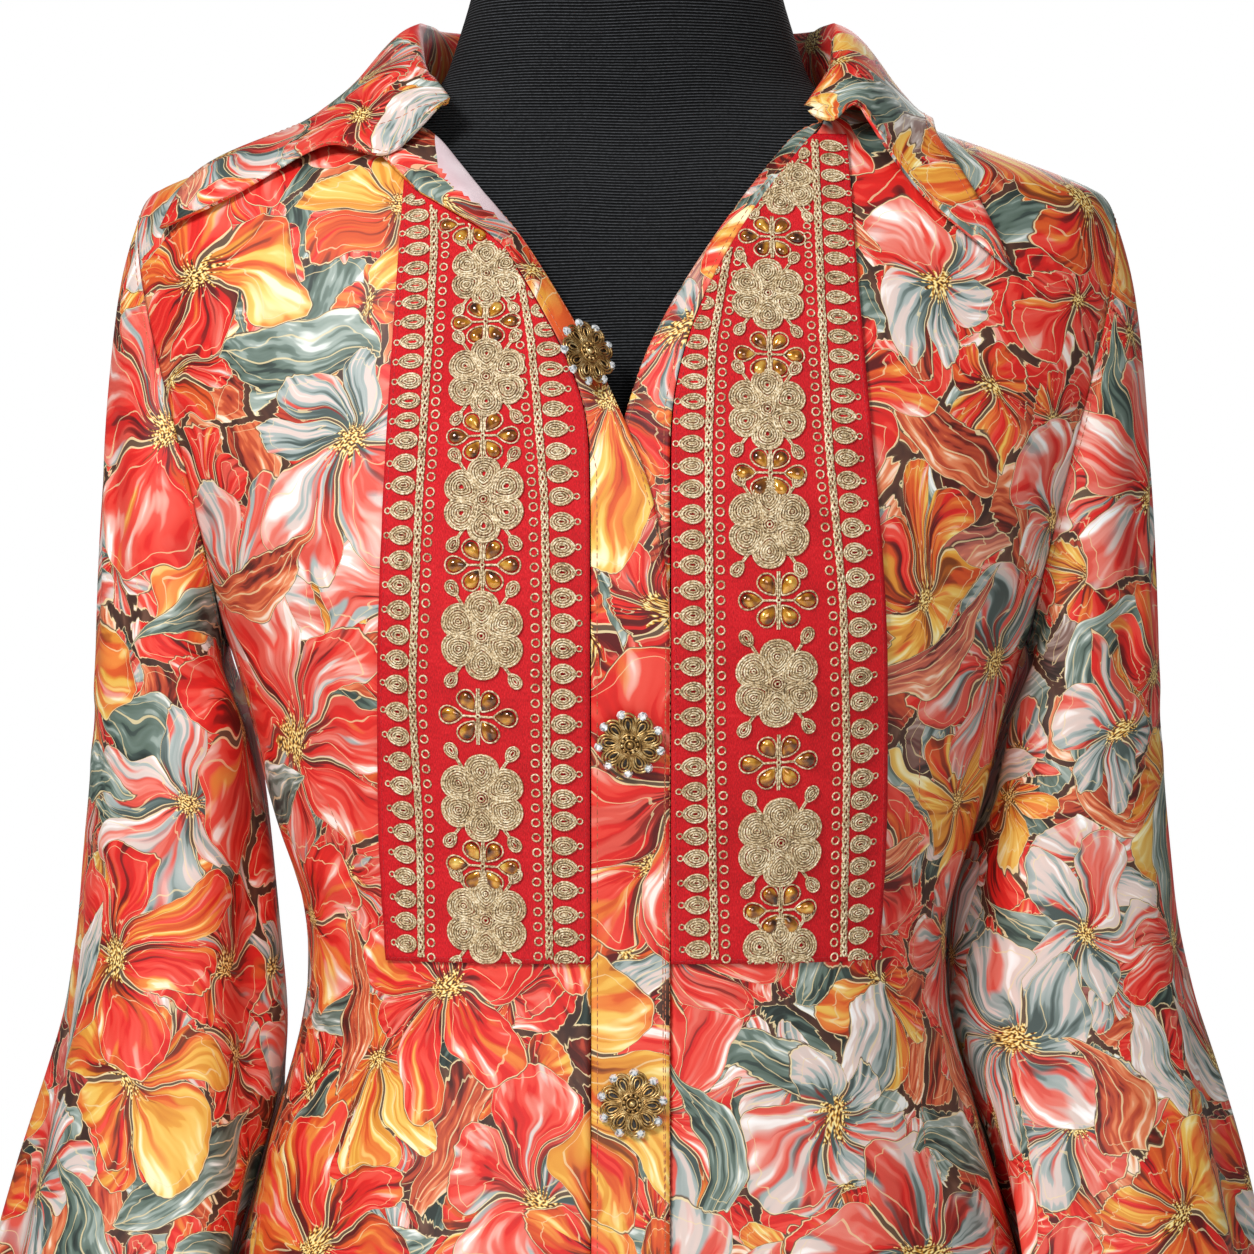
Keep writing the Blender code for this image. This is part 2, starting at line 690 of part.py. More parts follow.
def button(spec):
    """A round filigree button: a lobed rim, a domed face and a raised middle."""
    steps = BUTTON_LOBES * 2
    shank = BUTTON_SHANK if spec.tilt else FLAT_SHANK
    rings = ((0.12, -shank), *BUTTON_PROFILE, (0.26, BUTTON_HEIGHT))
    mesh = bmesh.new()
    loops = []
    for share, height in rings:
        loop = []
        for k in range(steps):
            angle = k / steps * 2 * math.pi
            lobe = 1 - BUTTON_LOBE_DEPTH + BUTTON_LOBE_DEPTH * math.cos(BUTTON_LOBES * angle)
            reach = BUTTON_RADIUS * share * lobe
            loop.append(mesh.verts.new((reach * math.cos(angle), reach * math.sin(angle), height)))
        loops.append(loop)
    for lower, upper in zip(loops, loops[1:]):
        for k in range(steps):
            n = (k + 1) % steps
            mesh.faces.new((lower[k], lower[n], upper[n], upper[k]))
    mesh.faces.new(loops[0])
    mesh.faces.new(loops[-1])
    bmesh.ops.triangulate(mesh, faces=[f for f in mesh.faces if len(f.verts) > 4])
    bmesh.ops.scale(mesh, vec=(MM, MM, MM), verts=mesh.verts)
    made = finish(spec.name, mesh, JEWEL)
    spot = torso_point(turn_at(spec.across, spec.rise), spec.rise)
    normal = Vector(outward(spot))
    seat = 2 * SEAM_GAP + BAND_CLOTH + BUTTON_SEAT
    if spec.tilt:
        normal = Matrix.Rotation(math.radians(spec.tilt), 3, "Z") @ normal
        seat += TILTED_LIFT
    made.rotation_mode = "QUATERNION"
    made.rotation_quaternion = normal.to_track_quat("Z", "Y")
    made.location = placed(spot + np.array(outward(spot)) * seat)
    return made


def collar_grid():
    """The collar's middle surface: rows from the neck seam over the roll to the outer edge."""
    sides = []
    for ends, sign in ((COLLAR_RIGHT, -1), (COLLAR_LEFT, 1)):
        stations = COLLAR_BACK + ends
        places = [s.along for s in stations]
        walk = np.linspace(0, 1, COLLAR_STEPS + 1)
        lines = []
        for name in Station._fields[1:]:
            knots = np.array([getattr(s, name) for s in stations], float)
            paths = [smooth_between(places, knots[:, axis], walk) for axis in range(3)]
            lines.append(np.stack(paths, axis=-1))
        lines = np.array(lines) * (sign, 1, 1)
        sides.append(lines)
    lines = np.concatenate([sides[0][:, ::-1], sides[1][:, 1:]], axis=1)
    spots = np.array(LINE_PLACES)
    across = np.array(COLLAR_ROWS)
    grid = np.zeros((len(across), lines.shape[1], 3))
    for c in range(lines.shape[1]):
        for axis in range(3):
            grid[:, c, axis] = rounded_line(spots, lines[:, c, axis], across)
    lifted = STAND_CLEARANCE + (COLLAR_CLEARANCE - STAND_CLEARANCE) * ease((across - 0.1) / 0.3)
    for r, least in enumerate(lifted):
        clear = kept_clear(grid[r], least)
        above = ease((grid[r][:, 2] - NECK) / 1.0)[:, None] if across[r] < 0.3 else 0.0
        grid[r] = clear * (1 - above) + grid[r] * above
    return grid


def rounded_line(places, values, at):
    """A Catmull-Rom line through a few values, which rounds its corners."""
    slopes = np.gradient(values, places)
    index = np.clip(np.searchsorted(places, at, side="right") - 1, 0, len(places) - 2)
    width = places[index + 1] - places[index]
    t = (at - places[index]) / width
    return (
        (2 * t**3 - 3 * t**2 + 1) * values[index]
        + (t**3 - 2 * t**2 + t) * width * slopes[index]
        + (3 * t**2 - 2 * t**3) * values[index + 1]
        + (t**3 - t**2) * width * slopes[index + 1]
    )


def collar():
    """The shirt collar: a low stand that rolls over into a long pointed fall."""
    grid = collar_grid()
    normals = grid_normals(grid, tube=False)
    walls = [grid + normals * (side * COLLAR_CLOTH / 2) for side in (-1, 1)]
    return cloth_wall("collar", walls[0], walls[1], PRINT)


def dress_form():
    """The limbless form: hips to neck, closed by a flat underside and a low dome."""
    steps = FORM_COLUMNS
    mesh = bmesh.new()
    rings = [(g.rise, 1.0, g) for g in FORM]
    top = FORM[-1]
    for angle in NECK_DOME_ANGLES:
        turn = math.radians(angle)
        rings.append((top.rise + NECK_DOME * math.sin(turn), math.cos(turn) ** 0.7, top))
    loops = []
    power = 2 / SQUARENESS
    for rise, share, girth in rings:
        loop = []
        for k in range(steps):
            turn = k / steps * 2 * math.pi
            sine, cosine = math.sin(turn), math.cos(turn)
            depth = girth.front + SIDE_Y if cosine > 0 else girth.back - SIDE_Y
            x = girth.half_width * share * math.copysign(abs(sine) ** power, sine)
            y = SIDE_Y - depth * share * math.copysign(abs(cosine) ** power, cosine)
            loop.append(mesh.verts.new(placed((x, y, rise))))
        loops.append(loop)
    for lower, upper in zip(loops, loops[1:]):
        for k in range(steps):
            n = (k + 1) % steps
            mesh.faces.new((lower[k], lower[n], upper[n], upper[k]))
    for loop, rise in ((loops[0], FORM_BOTTOM), (loops[-1], top.rise + NECK_DOME)):
        hub = mesh.verts.new(placed((0, SIDE_Y, rise)))
        for k in range(steps):
            mesh.faces.new((loop[k], loop[(k + 1) % steps], hub))
    return finish("dress_form", mesh, BLACK)


def turned(name, profile, spec, steps=40):
    """A turned solid: a half outline of radius and height in millimetres above the floor, spun once."""
    mesh = bmesh.new()
    points = [mesh.verts.new((radius * MM, 0, height * MM)) for radius, height in profile]
    edges = [mesh.edges.new(pair) for pair in zip(points, points[1:])]
    bmesh.ops.spin(
        mesh, geom=points + edges, cent=(0, 0, 0), axis=(0, 0, 1),
        angle=2 * math.pi, steps=steps, use_merge=True,
    )
    bmesh.ops.remove_doubles(mesh, verts=mesh.verts, dist=1e-6)
    return finish(name, mesh, spec)


def stand():
    """A weighted disc, a pole and the socket that takes the form."""
    turned("base", (
        (0, 0), (BASE_RADIUS - 3, 0), (BASE_RADIUS, 3), (BASE_RADIUS, 7),
        (BASE_RADIUS - 6, BASE_HEIGHT), (0, BASE_HEIGHT),
    ), STEEL, steps=48)
    bottom = WAIST_HEIGHT + FORM_BOTTOM
    low = BASE_HEIGHT + SEAM_GAP
    high = bottom - SOCKET_HEIGHT - 2 * SEAM_GAP
    turned("pole", (
        (0, low), (POLE_RADIUS + 7, low), (POLE_RADIUS + 7, low + 5),
        (POLE_RADIUS, low + 12), (POLE_RADIUS, high), (0, high),
    ), STEEL, steps=28)
    turned("socket", (
        (0, high + SEAM_GAP), (SOCKET_RADIUS - 4, high + SEAM_GAP), (SOCKET_RADIUS, high + 4),
        (SOCKET_RADIUS, bottom - SEAM_GAP), (0, bottom - SEAM_GAP),
    ), STEEL, steps=28)


def clear_scene():
    """Removes whatever the file opened with."""
    for thing in list(bpy.data.objects):
        bpy.data.objects.remove(thing)


clear_scene()
dress_form()
stand()
front("right_front", RIGHT_EDGE, -1)
front("left_front", LEFT_EDGE, 1)
back_panel()
sleeve("right_sleeve", RIGHT_SLEEVE, -1)
sleeve("left_sleeve", LEFT_SLEEVE, 1)
band("under_band", LEFT_EDGE, 1, -CLOTH, -SEAM_GAP)
band("button_band", RIGHT_EDGE, -1, SEAM_GAP, SEAM_GAP + BAND_CLOTH)
embroidered_panel("right_embroidered_panel", "right", -1)
embroidered_panel("left_embroidered_panel", "left", 1)
for spec in FLOWERS:
    thread_flower(spec)
for spec in BUTTONS:
    button(spec)
collar()
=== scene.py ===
# %% [markdown]
# An embroidered shirt on a dress form.
# The solids of the part are already here as a fixed frame. This lesson dresses them: printed cloth with
# soft creases, ribbon panels worked with couched thread and stones, filigree buttons, a black jersey
# form and its stand. Each step says what the real piece is and why it is made this way.

import json
import math

import bmesh
import bpy
import numpy as np
from mathutils import Matrix, Vector
from mathutils.bvhtree import BVHTree

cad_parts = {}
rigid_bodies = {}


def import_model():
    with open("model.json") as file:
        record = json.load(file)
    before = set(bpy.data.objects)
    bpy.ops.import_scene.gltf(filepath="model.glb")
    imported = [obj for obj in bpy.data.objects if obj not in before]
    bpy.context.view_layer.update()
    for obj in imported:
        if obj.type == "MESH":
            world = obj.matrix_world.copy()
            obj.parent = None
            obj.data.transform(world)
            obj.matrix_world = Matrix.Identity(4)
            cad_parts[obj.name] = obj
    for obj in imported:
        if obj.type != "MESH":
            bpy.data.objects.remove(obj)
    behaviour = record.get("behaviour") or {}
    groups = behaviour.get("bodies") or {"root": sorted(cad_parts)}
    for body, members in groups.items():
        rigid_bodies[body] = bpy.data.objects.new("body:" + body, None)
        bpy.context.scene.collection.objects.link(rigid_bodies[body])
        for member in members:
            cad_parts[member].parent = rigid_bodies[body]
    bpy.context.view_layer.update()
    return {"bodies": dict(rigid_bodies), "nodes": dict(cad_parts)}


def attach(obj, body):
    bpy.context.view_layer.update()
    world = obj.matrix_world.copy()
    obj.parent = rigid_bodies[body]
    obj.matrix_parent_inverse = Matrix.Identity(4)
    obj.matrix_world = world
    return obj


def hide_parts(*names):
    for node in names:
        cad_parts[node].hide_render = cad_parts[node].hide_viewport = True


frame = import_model()
nodes = frame["nodes"]

MM = 0.001
WAIST = 0.400
TORSO_AXIS = np.array((0.0, 0.008))

# %% [markdown]
# The camera comes first, because everything is judged through it. The photograph looks straight at the
# chest from a few paces away through a long lens, so upright lines stay upright and the sleeves are not
# stretched at the edges. The lens follows from the distance and the width of cloth that fills the frame.

# %% Camera
VIEW_DISTANCE = 2.2
VIEW_WIDTH = 0.5267
VIEW_HEIGHT = WAIST + 0.1294
SENSOR = 36.0

camera = bpy.data.objects.new("camera", bpy.data.cameras.new("camera"))
camera.data.sensor_width = SENSOR
camera.data.lens = SENSOR * VIEW_DISTANCE / VIEW_WIDTH
camera.location = (0, -VIEW_DISTANCE, VIEW_HEIGHT)
camera.rotation_euler = (math.radians(90), 0, 0)
bpy.context.scene.collection.objects.link(camera)
bpy.context.scene.camera = camera
print("lens", round(camera.data.lens, 1), "mm")

# %% [markdown]
# A material is a recipe of small sums. Writing each sum as a node by hand hides what it does, so a Wire
# stands for a node's output and understands plus, minus, times and a few named functions. Adding two
# wires adds a Math node to the tree and returns its output as a new wire.

# %% A recipe for materials
def paint(code):
    """A colour given as six hex digits, turned into the linear values that shaders use."""
    channels = [int(code[i : i + 2], 16) / 255 for i in (0, 2, 4)]
    return tuple(c / 12.92 if c <= 0.04045 else ((c + 0.055) / 1.055) ** 2.4 for c in channels) + (1.0,)


class Wire:
    """One number that varies over the surface."""

    def __init__(self, recipe, socket):
        self.recipe = recipe
        self.socket = socket

    def sum(self, operation, *others, clamp=False):
        return self.recipe.math(operation, self, *others, clamp=clamp)

    def __add__(self, other):
        return self.sum("ADD", other)

    def __sub__(self, other):
        return self.sum("SUBTRACT", other)

    def __mul__(self, other):
        return self.sum("MULTIPLY", other)

    def __truediv__(self, other):
        return self.sum("DIVIDE", other)

    def __pow__(self, other):
        return self.sum("POWER", other)

    def __rsub__(self, other):
        return self.recipe.math("SUBTRACT", other, self)

    __radd__ = __add__
    __rmul__ = __mul__

    def size(self):
        return self.sum("ABSOLUTE")

    def held(self):
        """Kept between 0 and 1."""
        return self.sum("ADD", 0.0, clamp=True)

    def below(self, level):
        return self.sum("LESS_THAN", level)


class Recipe:
    """A material and the node tree behind it."""

    def __init__(self, name):
        self.material = bpy.data.materials.new(name)
        self.material.use_nodes = True
        self.tree = self.material.node_tree
        self.tree.nodes.clear()

    def node(self, kind, inputs, **settings):
        made = self.tree.nodes.new(kind)
        for key, value in settings.items():
            setattr(made, key, value)
        pairs = inputs.items() if isinstance(inputs, dict) else enumerate(inputs)
        for key, value in pairs:
            if isinstance(value, Wire):
                self.tree.links.new(value.socket, made.inputs[key])
            elif value is not None:
                made.inputs[key].default_value = value
        return made

    def math(self, operation, *values, clamp=False):
        made = self.node("ShaderNodeMath", values, operation=operation, use_clamp=clamp)
        return Wire(self, made.outputs[0])

    def vector(self, operation, *values):
        made = self.node("ShaderNodeVectorMath", values, operation=operation)
        return Wire(self, made.outputs["Vector"])

    def place(self, layer=None):
        """Where a point lies: on the piece's own map, or in the object's space."""
        if layer:
            return Wire(self, self.node("ShaderNodeUVMap", (), uv_map=layer).outputs["UV"])
        return Wire(self, self.node("ShaderNodeTexCoord", ()).outputs["Object"])

    def split(self, vector):
        made = self.node("ShaderNodeSeparateXYZ", (vector,))
        return [Wire(self, socket) for socket in made.outputs]

    def join(self, x, y, z=0.0):
        return Wire(self, self.node("ShaderNodeCombineXYZ", (x, y, z)).outputs[0])

    def noise(self, place, scale, detail=2.0, roughness=0.55, colour=False, flat=False):
        inputs = {"Vector": place, "Scale": scale, "Detail": detail, "Roughness": roughness}
        made = self.node("ShaderNodeTexNoise", inputs, noise_dimensions="2D" if flat else "3D")
        return Wire(self, made.outputs["Color" if colour else 0])

    def cells(self, place, size, randomness):
        """Each cell's middle, its own random colour and about how far its border is."""
        inputs = {"Vector": place, "Scale": 1.0 / size, "Randomness": randomness}
        near = self.node("ShaderNodeTexVoronoi", inputs, voronoi_dimensions="2D", feature="F1")
        next_near = self.node("ShaderNodeTexVoronoi", inputs, voronoi_dimensions="2D", feature="F2")
        gap = Wire(self, next_near.outputs["Distance"]) - Wire(self, near.outputs["Distance"])
        return Wire(self, near.outputs["Position"]), Wire(self, near.outputs["Color"]), gap * (size / 2)

    def ramp(self, tone, stops):
        made = self.node("ShaderNodeValToRGB", (tone,))
        elements = made.color_ramp.elements
        while len(elements) < len(stops):
            elements.new(0.5)
        for element, (position, colour) in zip(elements, stops):
            element.position = position
            element.color = paint(colour)
        return Wire(self, made.outputs["Color"])

    def blend(self, share, first, second):
        made = self.node(
            "ShaderNodeMix", {"Factor": share, 6: first, 7: second}, data_type="RGBA", clamp_factor=True
        )
        return Wire(self, made.outputs[2])

    def bump(self, height, distance, strength=1.0):
        made = self.node("ShaderNodeBump", {"Height": height, "Distance": distance, "Strength": strength})
        return Wire(self, made.outputs[0])

    def finish(self, **inputs):
        """The Principled shader with these inputs, and the output it feeds."""
        named = {key.replace("_", " "): value for key, value in inputs.items()}
        shader = self.node("ShaderNodeBsdfPrincipled", named)
        output = self.node("ShaderNodeOutputMaterial", ())
        self.tree.links.new(shader.outputs[0], output.inputs[0])
        return self.material


# %% [markdown]
# The shirt's cloth is printed with crowded, brushed flowers: coral, orange, yellow and blush petals, grey,
# sage and rust leaves, small strokes and a dark ground in the gaps, and round each shape a dark line with a
# pale one inside it. A print like this can be painted as a picture, or worked out by rules. Rules are used
# here: each layer scatters cells over the cloth, and inside a cell the distance and the angle from its
# middle draw one flower, leaf or stroke. A noise stretched outwards gives the long streaks of a loaded
# brush, and each shape takes one of a few sets of inks by chance. The layout and the motifs are this
# lesson's own.

# %% Colours of the print
GROUND_INKS = ((0.0, "24140f"), (0.4, "3f2720"), (0.6, "573629"), (0.85, "7a5646"), (1.0, "9a5a3c"))
LINE_INK = paint("ecd6a4")
DARK_INK = paint("43211b")
RED_INKS = (
    (0.0, "5a0d0c"), (0.14, "8c1512"), (0.18, "c81c17"), (0.42, "dc211b"), (0.46, "e4382c"),
    (0.68, "e94f40"), (0.74, "ee8c7c"), (0.86, "f3b2a2"), (0.93, "fdeee6"),
)
BLUSH_INKS = (
    (0.0, "8a2018"), (0.14, "b2352a"), (0.18, "d84c3f"), (0.42, "df5647"), (0.46, "e4695a"),
    (0.64, "e87f70"), (0.72, "efa295"), (0.86, "f5c6ba"), (0.95, "fffaf6"),
)
ORANGE_INKS = (
    (0.0, "6e2412"), (0.16, "a53815"), (0.2, "cd491d"), (0.44, "db5c25"), (0.48, "e37531"),
    (0.68, "e8893b"), (0.74, "f0b65f"), (0.86, "f6d088"), (0.93, "fdf0c8"),
)
YELLOW_INKS = (
    (0.0, "7c3a14"), (0.16, "b8621e"), (0.2, "d6862e"), (0.44, "e29c3a"), (0.48, "eab24d"),
    (0.68, "efc463"), (0.74, "f5da8b"), (0.9, "fdf3c4"),
)
WHITE_INKS = (
    (0.0, "45524f"), (0.18, "6f7e7a"), (0.22, "94a19e"), (0.4, "adb5b2"), (0.44, "d8c6bf"),
    (0.64, "e2cbc2"), (0.72, "f2e6e1"), (0.93, "ffffff"),
)
# The inks of a kind of shape, and the chances at which one gives way to the next
BLOSSOM_INKS = (WHITE_INKS, BLUSH_INKS, RED_INKS, ORANGE_INKS, YELLOW_INKS)
BLOSSOM_CHANCES = (0.21, 0.38, 0.65, 0.85)
SAGE_INKS = (
    (0.0, "242d29"), (0.2, "3c4a45"), (0.24, "536459"), (0.48, "6c7d74"), (0.52, "8a9990"),
    (0.7, "9faba3"), (0.76, "c8cfc8"), (0.92, "f2f3ee"),
)
RUST_INKS = (
    (0.0, "4a1710"), (0.2, "852a1c"), (0.24, "ab3b27"), (0.5, "c65431"), (0.54, "d86c42"),
    (0.74, "e38b60"), (0.8, "f0b791"), (0.93, "fbe2cc"),
)
LEAF_INKS = (SAGE_INKS, WHITE_INKS, RUST_INKS)
LEAF_CHANCES = (0.55, 0.74)
BED_INKS = (SAGE_INKS, RED_INKS, RUST_INKS)
BED_CHANCES = (0.3, 0.65)
LINE_WIDTH = 0.45 * MM
DARK_WIDTH = 0.55 * MM
EDGE_SHARPNESS = 2600.0
SOFT_CHANGE = 0.035
LEAF_BEND = 38.0
STROKE_BEND = 80.0
# The pale line that strays into a shape: how deep it starts, how far it wanders and half its width
STRAY_DEPTH = 2.4 * MM
STRAY_WANDER = 6.0 * MM
STRAY_HALF_WIDTH = 0.2 * MM


def chosen(recipe, chance, tone, inks, changes):
    """One of several colour ramps, picked by a cell's chance."""
    colour = recipe.ramp(tone, inks[0])
    for change, stops in zip(changes, inks[1:]):
        spread = {"Value": chance, "From Min": change - SOFT_CHANGE, "From Max": change + SOFT_CHANGE}
        share = Wire(recipe, recipe.node("ShaderNodeMapRange", spread).outputs["Result"])
        colour = recipe.blend(share, colour, recipe.ramp(tone, stops))
    return colour


def contours(recipe, inside, wander, colour):
    """A dark line round a shape, a pale one just inside it, and a pale one that strays further in."""
    stray = (inside - STRAY_DEPTH - wander * STRAY_WANDER).size().below(STRAY_HALF_WIDTH)
    line = recipe.math("MAXIMUM", inside.below(DARK_WIDTH + LINE_WIDTH), stray * 0.7)
    colour = recipe.blend(line * 0.85, colour, LINE_INK)
    return recipe.blend(inside.below(DARK_WIDTH) * 0.9, colour, DARK_INK)


def bent_axes(x, y, turn_chance, bend_chance, bend):
    """Along and across a stroke that chance turns and bends."""
    turn = turn_chance * math.tau
    cosine, sine = turn.sum("COSINE"), turn.sum("SINE")
    along = x * cosine + y * sine
    across = y * cosine - x * sine - (bend_chance - 0.5) * along * along * bend
    return along, across


def blossom_layer(recipe, place, seed, cell, reach, petals, under):
    """Flowers of a few wide petals over what is already painted."""
    moved = recipe.vector("ADD", place, (seed, seed * 0.7, 0.0))
    middle, chances, border = recipe.cells(moved, cell, 0.75)
    x, y, _ = recipe.split(recipe.vector("SUBTRACT", moved, middle))
    turn_chance, ink_chance, size_chance = recipe.split(chances)
    x = x * (turn_chance * 0.5 + 0.8)
    radius = (x * x + y * y) ** 0.5
    turn = recipe.math("ARCTAN2", y, x) + turn_chance * math.tau
    turn = turn + (turn + size_chance * math.tau).sum("SINE") * 0.36 + radius * (ink_chance * 16.0 - 8.0)
    sector = turn * (petals / math.tau)
    number = sector.sum("FLOOR")
    across = sector - number - 0.5
    lap = (number + 6.0 * petals).sum("MODULO", float(petals))
    luck = recipe.node(
        "ShaderNodeTexWhiteNoise", (recipe.join(lap, turn_chance * 91.0, ink_chance * 37.0),)
    )
    luck = Wire(recipe, luck.outputs["Value"])
    lobe = 1.0 - (across * 2.0).size() ** 2.6 * 0.5
    length = lobe * (luck * 0.4 + 0.74) * (size_chance * 0.3 + 0.85) * reach
    brushed = recipe.join(sector * 2.7 + turn_chance * 50.0, radius * 9.0 + ink_chance * 30.0)
    brush = recipe.noise(brushed, 3.0, 1.6, 0.6, flat=True)
    loaded = recipe.join(sector * 1.9 + size_chance * 40.0, radius * 9.0)
    load = recipe.noise(loaded, 2.6, 1.0, 0.6, flat=True)
    inside = recipe.math("MINIMUM", length - radius, border * 1.3 - 1.7 * MM) + (brush - 0.5) * (4.0 * MM)
    along = radius / length
    gap = (0.5 - across.size()) * radius * (math.tau / petals)
    rim = recipe.math("MINIMUM", inside, gap)
    tone = along * 0.4 + (brush - 0.5) * 1.3 + (luck - 0.5) * 0.3 + across * -0.4 - 0.05
    tone = tone + (rim * 170.0).held() * 0.25
    ink = ink_chance * 0.8 + 0.1 + (load - 0.5) * 0.8 + (luck - 0.5) * 0.3
    colour = chosen(recipe, ink, tone, BLOSSOM_INKS, BLOSSOM_CHANCES)
    colour = contours(recipe, rim, load, colour)
    dots = recipe.noise(moved, 900.0, 0.0, flat=True)
    eye = recipe.ramp(dots, ((0.35, "4a2a16"), (0.5, "d9982f"), (0.65, "fbe9a0")))
    heart = (reach * 0.13 - radius + (brush - 0.5) * 0.018) * EDGE_SHARPNESS
    colour = recipe.blend(heart.held(), colour, eye)
    return recipe.blend((inside * EDGE_SHARPNESS).held(), under, colour)


def leaf_layer(recipe, place, seed, cell, half_length, half_width, under, share_kept):
    """Curved leaves, lit on one side of the rib and brushed slantwise."""
    moved = recipe.vector("ADD", place, (seed, seed * 0.6, 0.0))
    middle, chances, border = recipe.cells(moved, cell, 0.8)
    x, y, _ = recipe.split(recipe.vector("SUBTRACT", moved, middle))
    turn_chance, bend_chance, ink_chance = recipe.split(chances)
    along, across = bent_axes(x, y, turn_chance, bend_chance, LEAF_BEND)
    share = along / half_length
    width = (1.0 - share * share) * (share * 0.35 + 1.0) * half_width
    slanted = recipe.join(along * 1.4 + across.size() * 2.0 + turn_chance, across * 7.0 + ink_chance)
    brush = recipe.noise(slanted, 44.0, 1.6, 0.6, flat=True)
    inside = recipe.math("MINIMUM", width - across.size(), border * 1.3 - 1.0 * MM)
    inside = inside + (brush - 0.5) * (3.0 * MM)
    tone = across / half_width * 0.28 + (brush - 0.5) * 1.3 + 0.42 + share * 0.1
    colour = chosen(recipe, ink_chance, tone, LEAF_INKS, LEAF_CHANCES)
    colour = recipe.blend(across.size().below(0.3 * MM) * 0.7, colour, LINE_INK)
    colour = contours(recipe, inside, brush, colour)
    cover = (inside * EDGE_SHARPNESS).held() * bend_chance.below(share_kept)
    return recipe.blend(cover, under, colour)


def petal_bed(recipe, place, seed, cell, under):
    """Small crowded strokes that fill the gaps between flowers and leaves."""
    moved = recipe.vector("ADD", place, (seed, seed * 0.8, 0.0))
    middle, chances, border = recipe.cells(moved, cell, 0.95)
    x, y, _ = recipe.split(recipe.vector("SUBTRACT", moved, middle))
    turn_chance, ink_chance, bend_chance = recipe.split(chances)
    along, across = bent_axes(x, y, turn_chance, bend_chance, STROKE_BEND)
    stroke = recipe.join(along * 1.4 + turn_chance, across * 7.0 + ink_chance)
    brush = recipe.noise(stroke, 44.0, 1.5, 0.6, flat=True)
    inside = border * 1.5 + (brush - 0.5) * (5.0 * MM) - 1.6 * MM
    tone = across / cell * 0.7 + (brush - 0.5) * 1.2 + 0.42
    colour = chosen(recipe, ink_chance, tone, BED_INKS, BED_CHANCES)
    colour = contours(recipe, inside, brush, colour)
    return recipe.blend((inside * EDGE_SHARPNESS).held(), under, colour)


# %% The printed cloth
SWAY = 30 * MM
TREMOR = 2.4 * MM
THREADS_PER_METRE = 1400.0


def printed_cloth():
    recipe = Recipe("printed_cloth")
    flat = recipe.place("cloth")
    sway = recipe.noise(flat, 22.0, 1.0, 0.5, colour=True, flat=True)
    sway = recipe.vector("SUBTRACT", sway, (0.5, 0.5, 0.5))
    tremor = recipe.noise(flat, 85.0, 1.0, 0.6, colour=True, flat=True)
    tremor = recipe.vector("SUBTRACT", tremor, (0.5, 0.5, 0.5))
    place = recipe.vector("MULTIPLY_ADD", sway, (SWAY, SWAY, 0.0), flat)
    place = recipe.vector("MULTIPLY_ADD", tremor, (TREMOR, TREMOR, 0.0), place)
    streak = recipe.noise(recipe.vector("MULTIPLY", place, (1.0, 0.35, 1.0)), 120.0, 2.0, 0.65, flat=True)
    colour = recipe.ramp(streak, GROUND_INKS)
    colour = petal_bed(recipe, place, 3.1, 27 * MM, colour)
    colour = blossom_layer(recipe, place, 7.7, 52 * MM, reach=29 * MM, petals=5, under=colour)
    colour = leaf_layer(recipe, place, 11.3, 66 * MM, 42 * MM, 13 * MM, colour, share_kept=0.75)
    colour = blossom_layer(recipe, place, 17.9, 88 * MM, reach=46 * MM, petals=5, under=colour)
    colour = blossom_layer(recipe, place, 23.3, 132 * MM, reach=56 * MM, petals=6, under=colour)
    colour = leaf_layer(recipe, place, 31.9, 100 * MM, 42 * MM, 12 * MM, colour, share_kept=0.5)
    weave = recipe.noise(flat, THREADS_PER_METRE, 0.0, flat=True)
    return recipe.finish(
        Base_Color=colour, Roughness=0.56, Specular_IOR_Level=0.4,
        Normal=recipe.bump(weave, 0.05 * MM, 0.5),
    )


def cloth_wrong_side():
    """The unprinted back of the cloth, where only a blush of the inks comes through."""
    recipe = Recipe("cloth_wrong_side")
    place = recipe.place()
    blush = recipe.noise(place, 38.0, 2.0)
    colour = recipe.ramp(blush, ((0.3, "c9a7ac"), (0.5, "e3cdd2"), (0.7, "f0e2e4")))
    weave = recipe.noise(place, THREADS_PER_METRE, 1.0)
    return recipe.finish(Base_Color=colour, Roughness=0.75, Normal=recipe.bump(weave, 0.05 * MM, 0.5))


PRINTED = printed_cloth()
WRONG_SIDE = cloth_wrong_side()

# %% [markdown]
# Each sewn piece starts as a copy of its solid, so it lies exactly where the frame says. The copy's loose
# triangles are merged and paired back into the four-sided faces that they came from, the edges of the
# cloth are creased so that they stay crisp, and a subdivision surface rounds the rest.

# %% Copies of the cloth's solids
RIM_ANGLE = math.radians(65)
COLLAR_RIM_ANGLE = math.radians(80)
MERGE_DISTANCE = 0.02 * MM
PAIR_TILT = math.radians(60)
PAIR_SKEW = math.radians(80)


def cloth_copy(name):
    """A mesh of merged quads from a solid, with its rim marked as seams and creases."""
    mesh = bmesh.new()
    mesh.from_mesh(nodes[name].data)
    bmesh.ops.remove_doubles(mesh, verts=mesh.verts, dist=MERGE_DISTANCE)
    bmesh.ops.join_triangles(
        mesh, faces=mesh.faces, angle_face_threshold=PAIR_TILT, angle_shape_threshold=PAIR_SKEW
    )
    crease = mesh.edges.layers.float.new("crease_edge")
    rim_angle = COLLAR_RIM_ANGLE if name == "collar" else RIM_ANGLE
    for edge in mesh.edges:
        if len(edge.link_faces) == 2 and edge.calc_face_angle() > rim_angle:
            edge[crease] = 1.0
            edge.seam = True
    return mesh


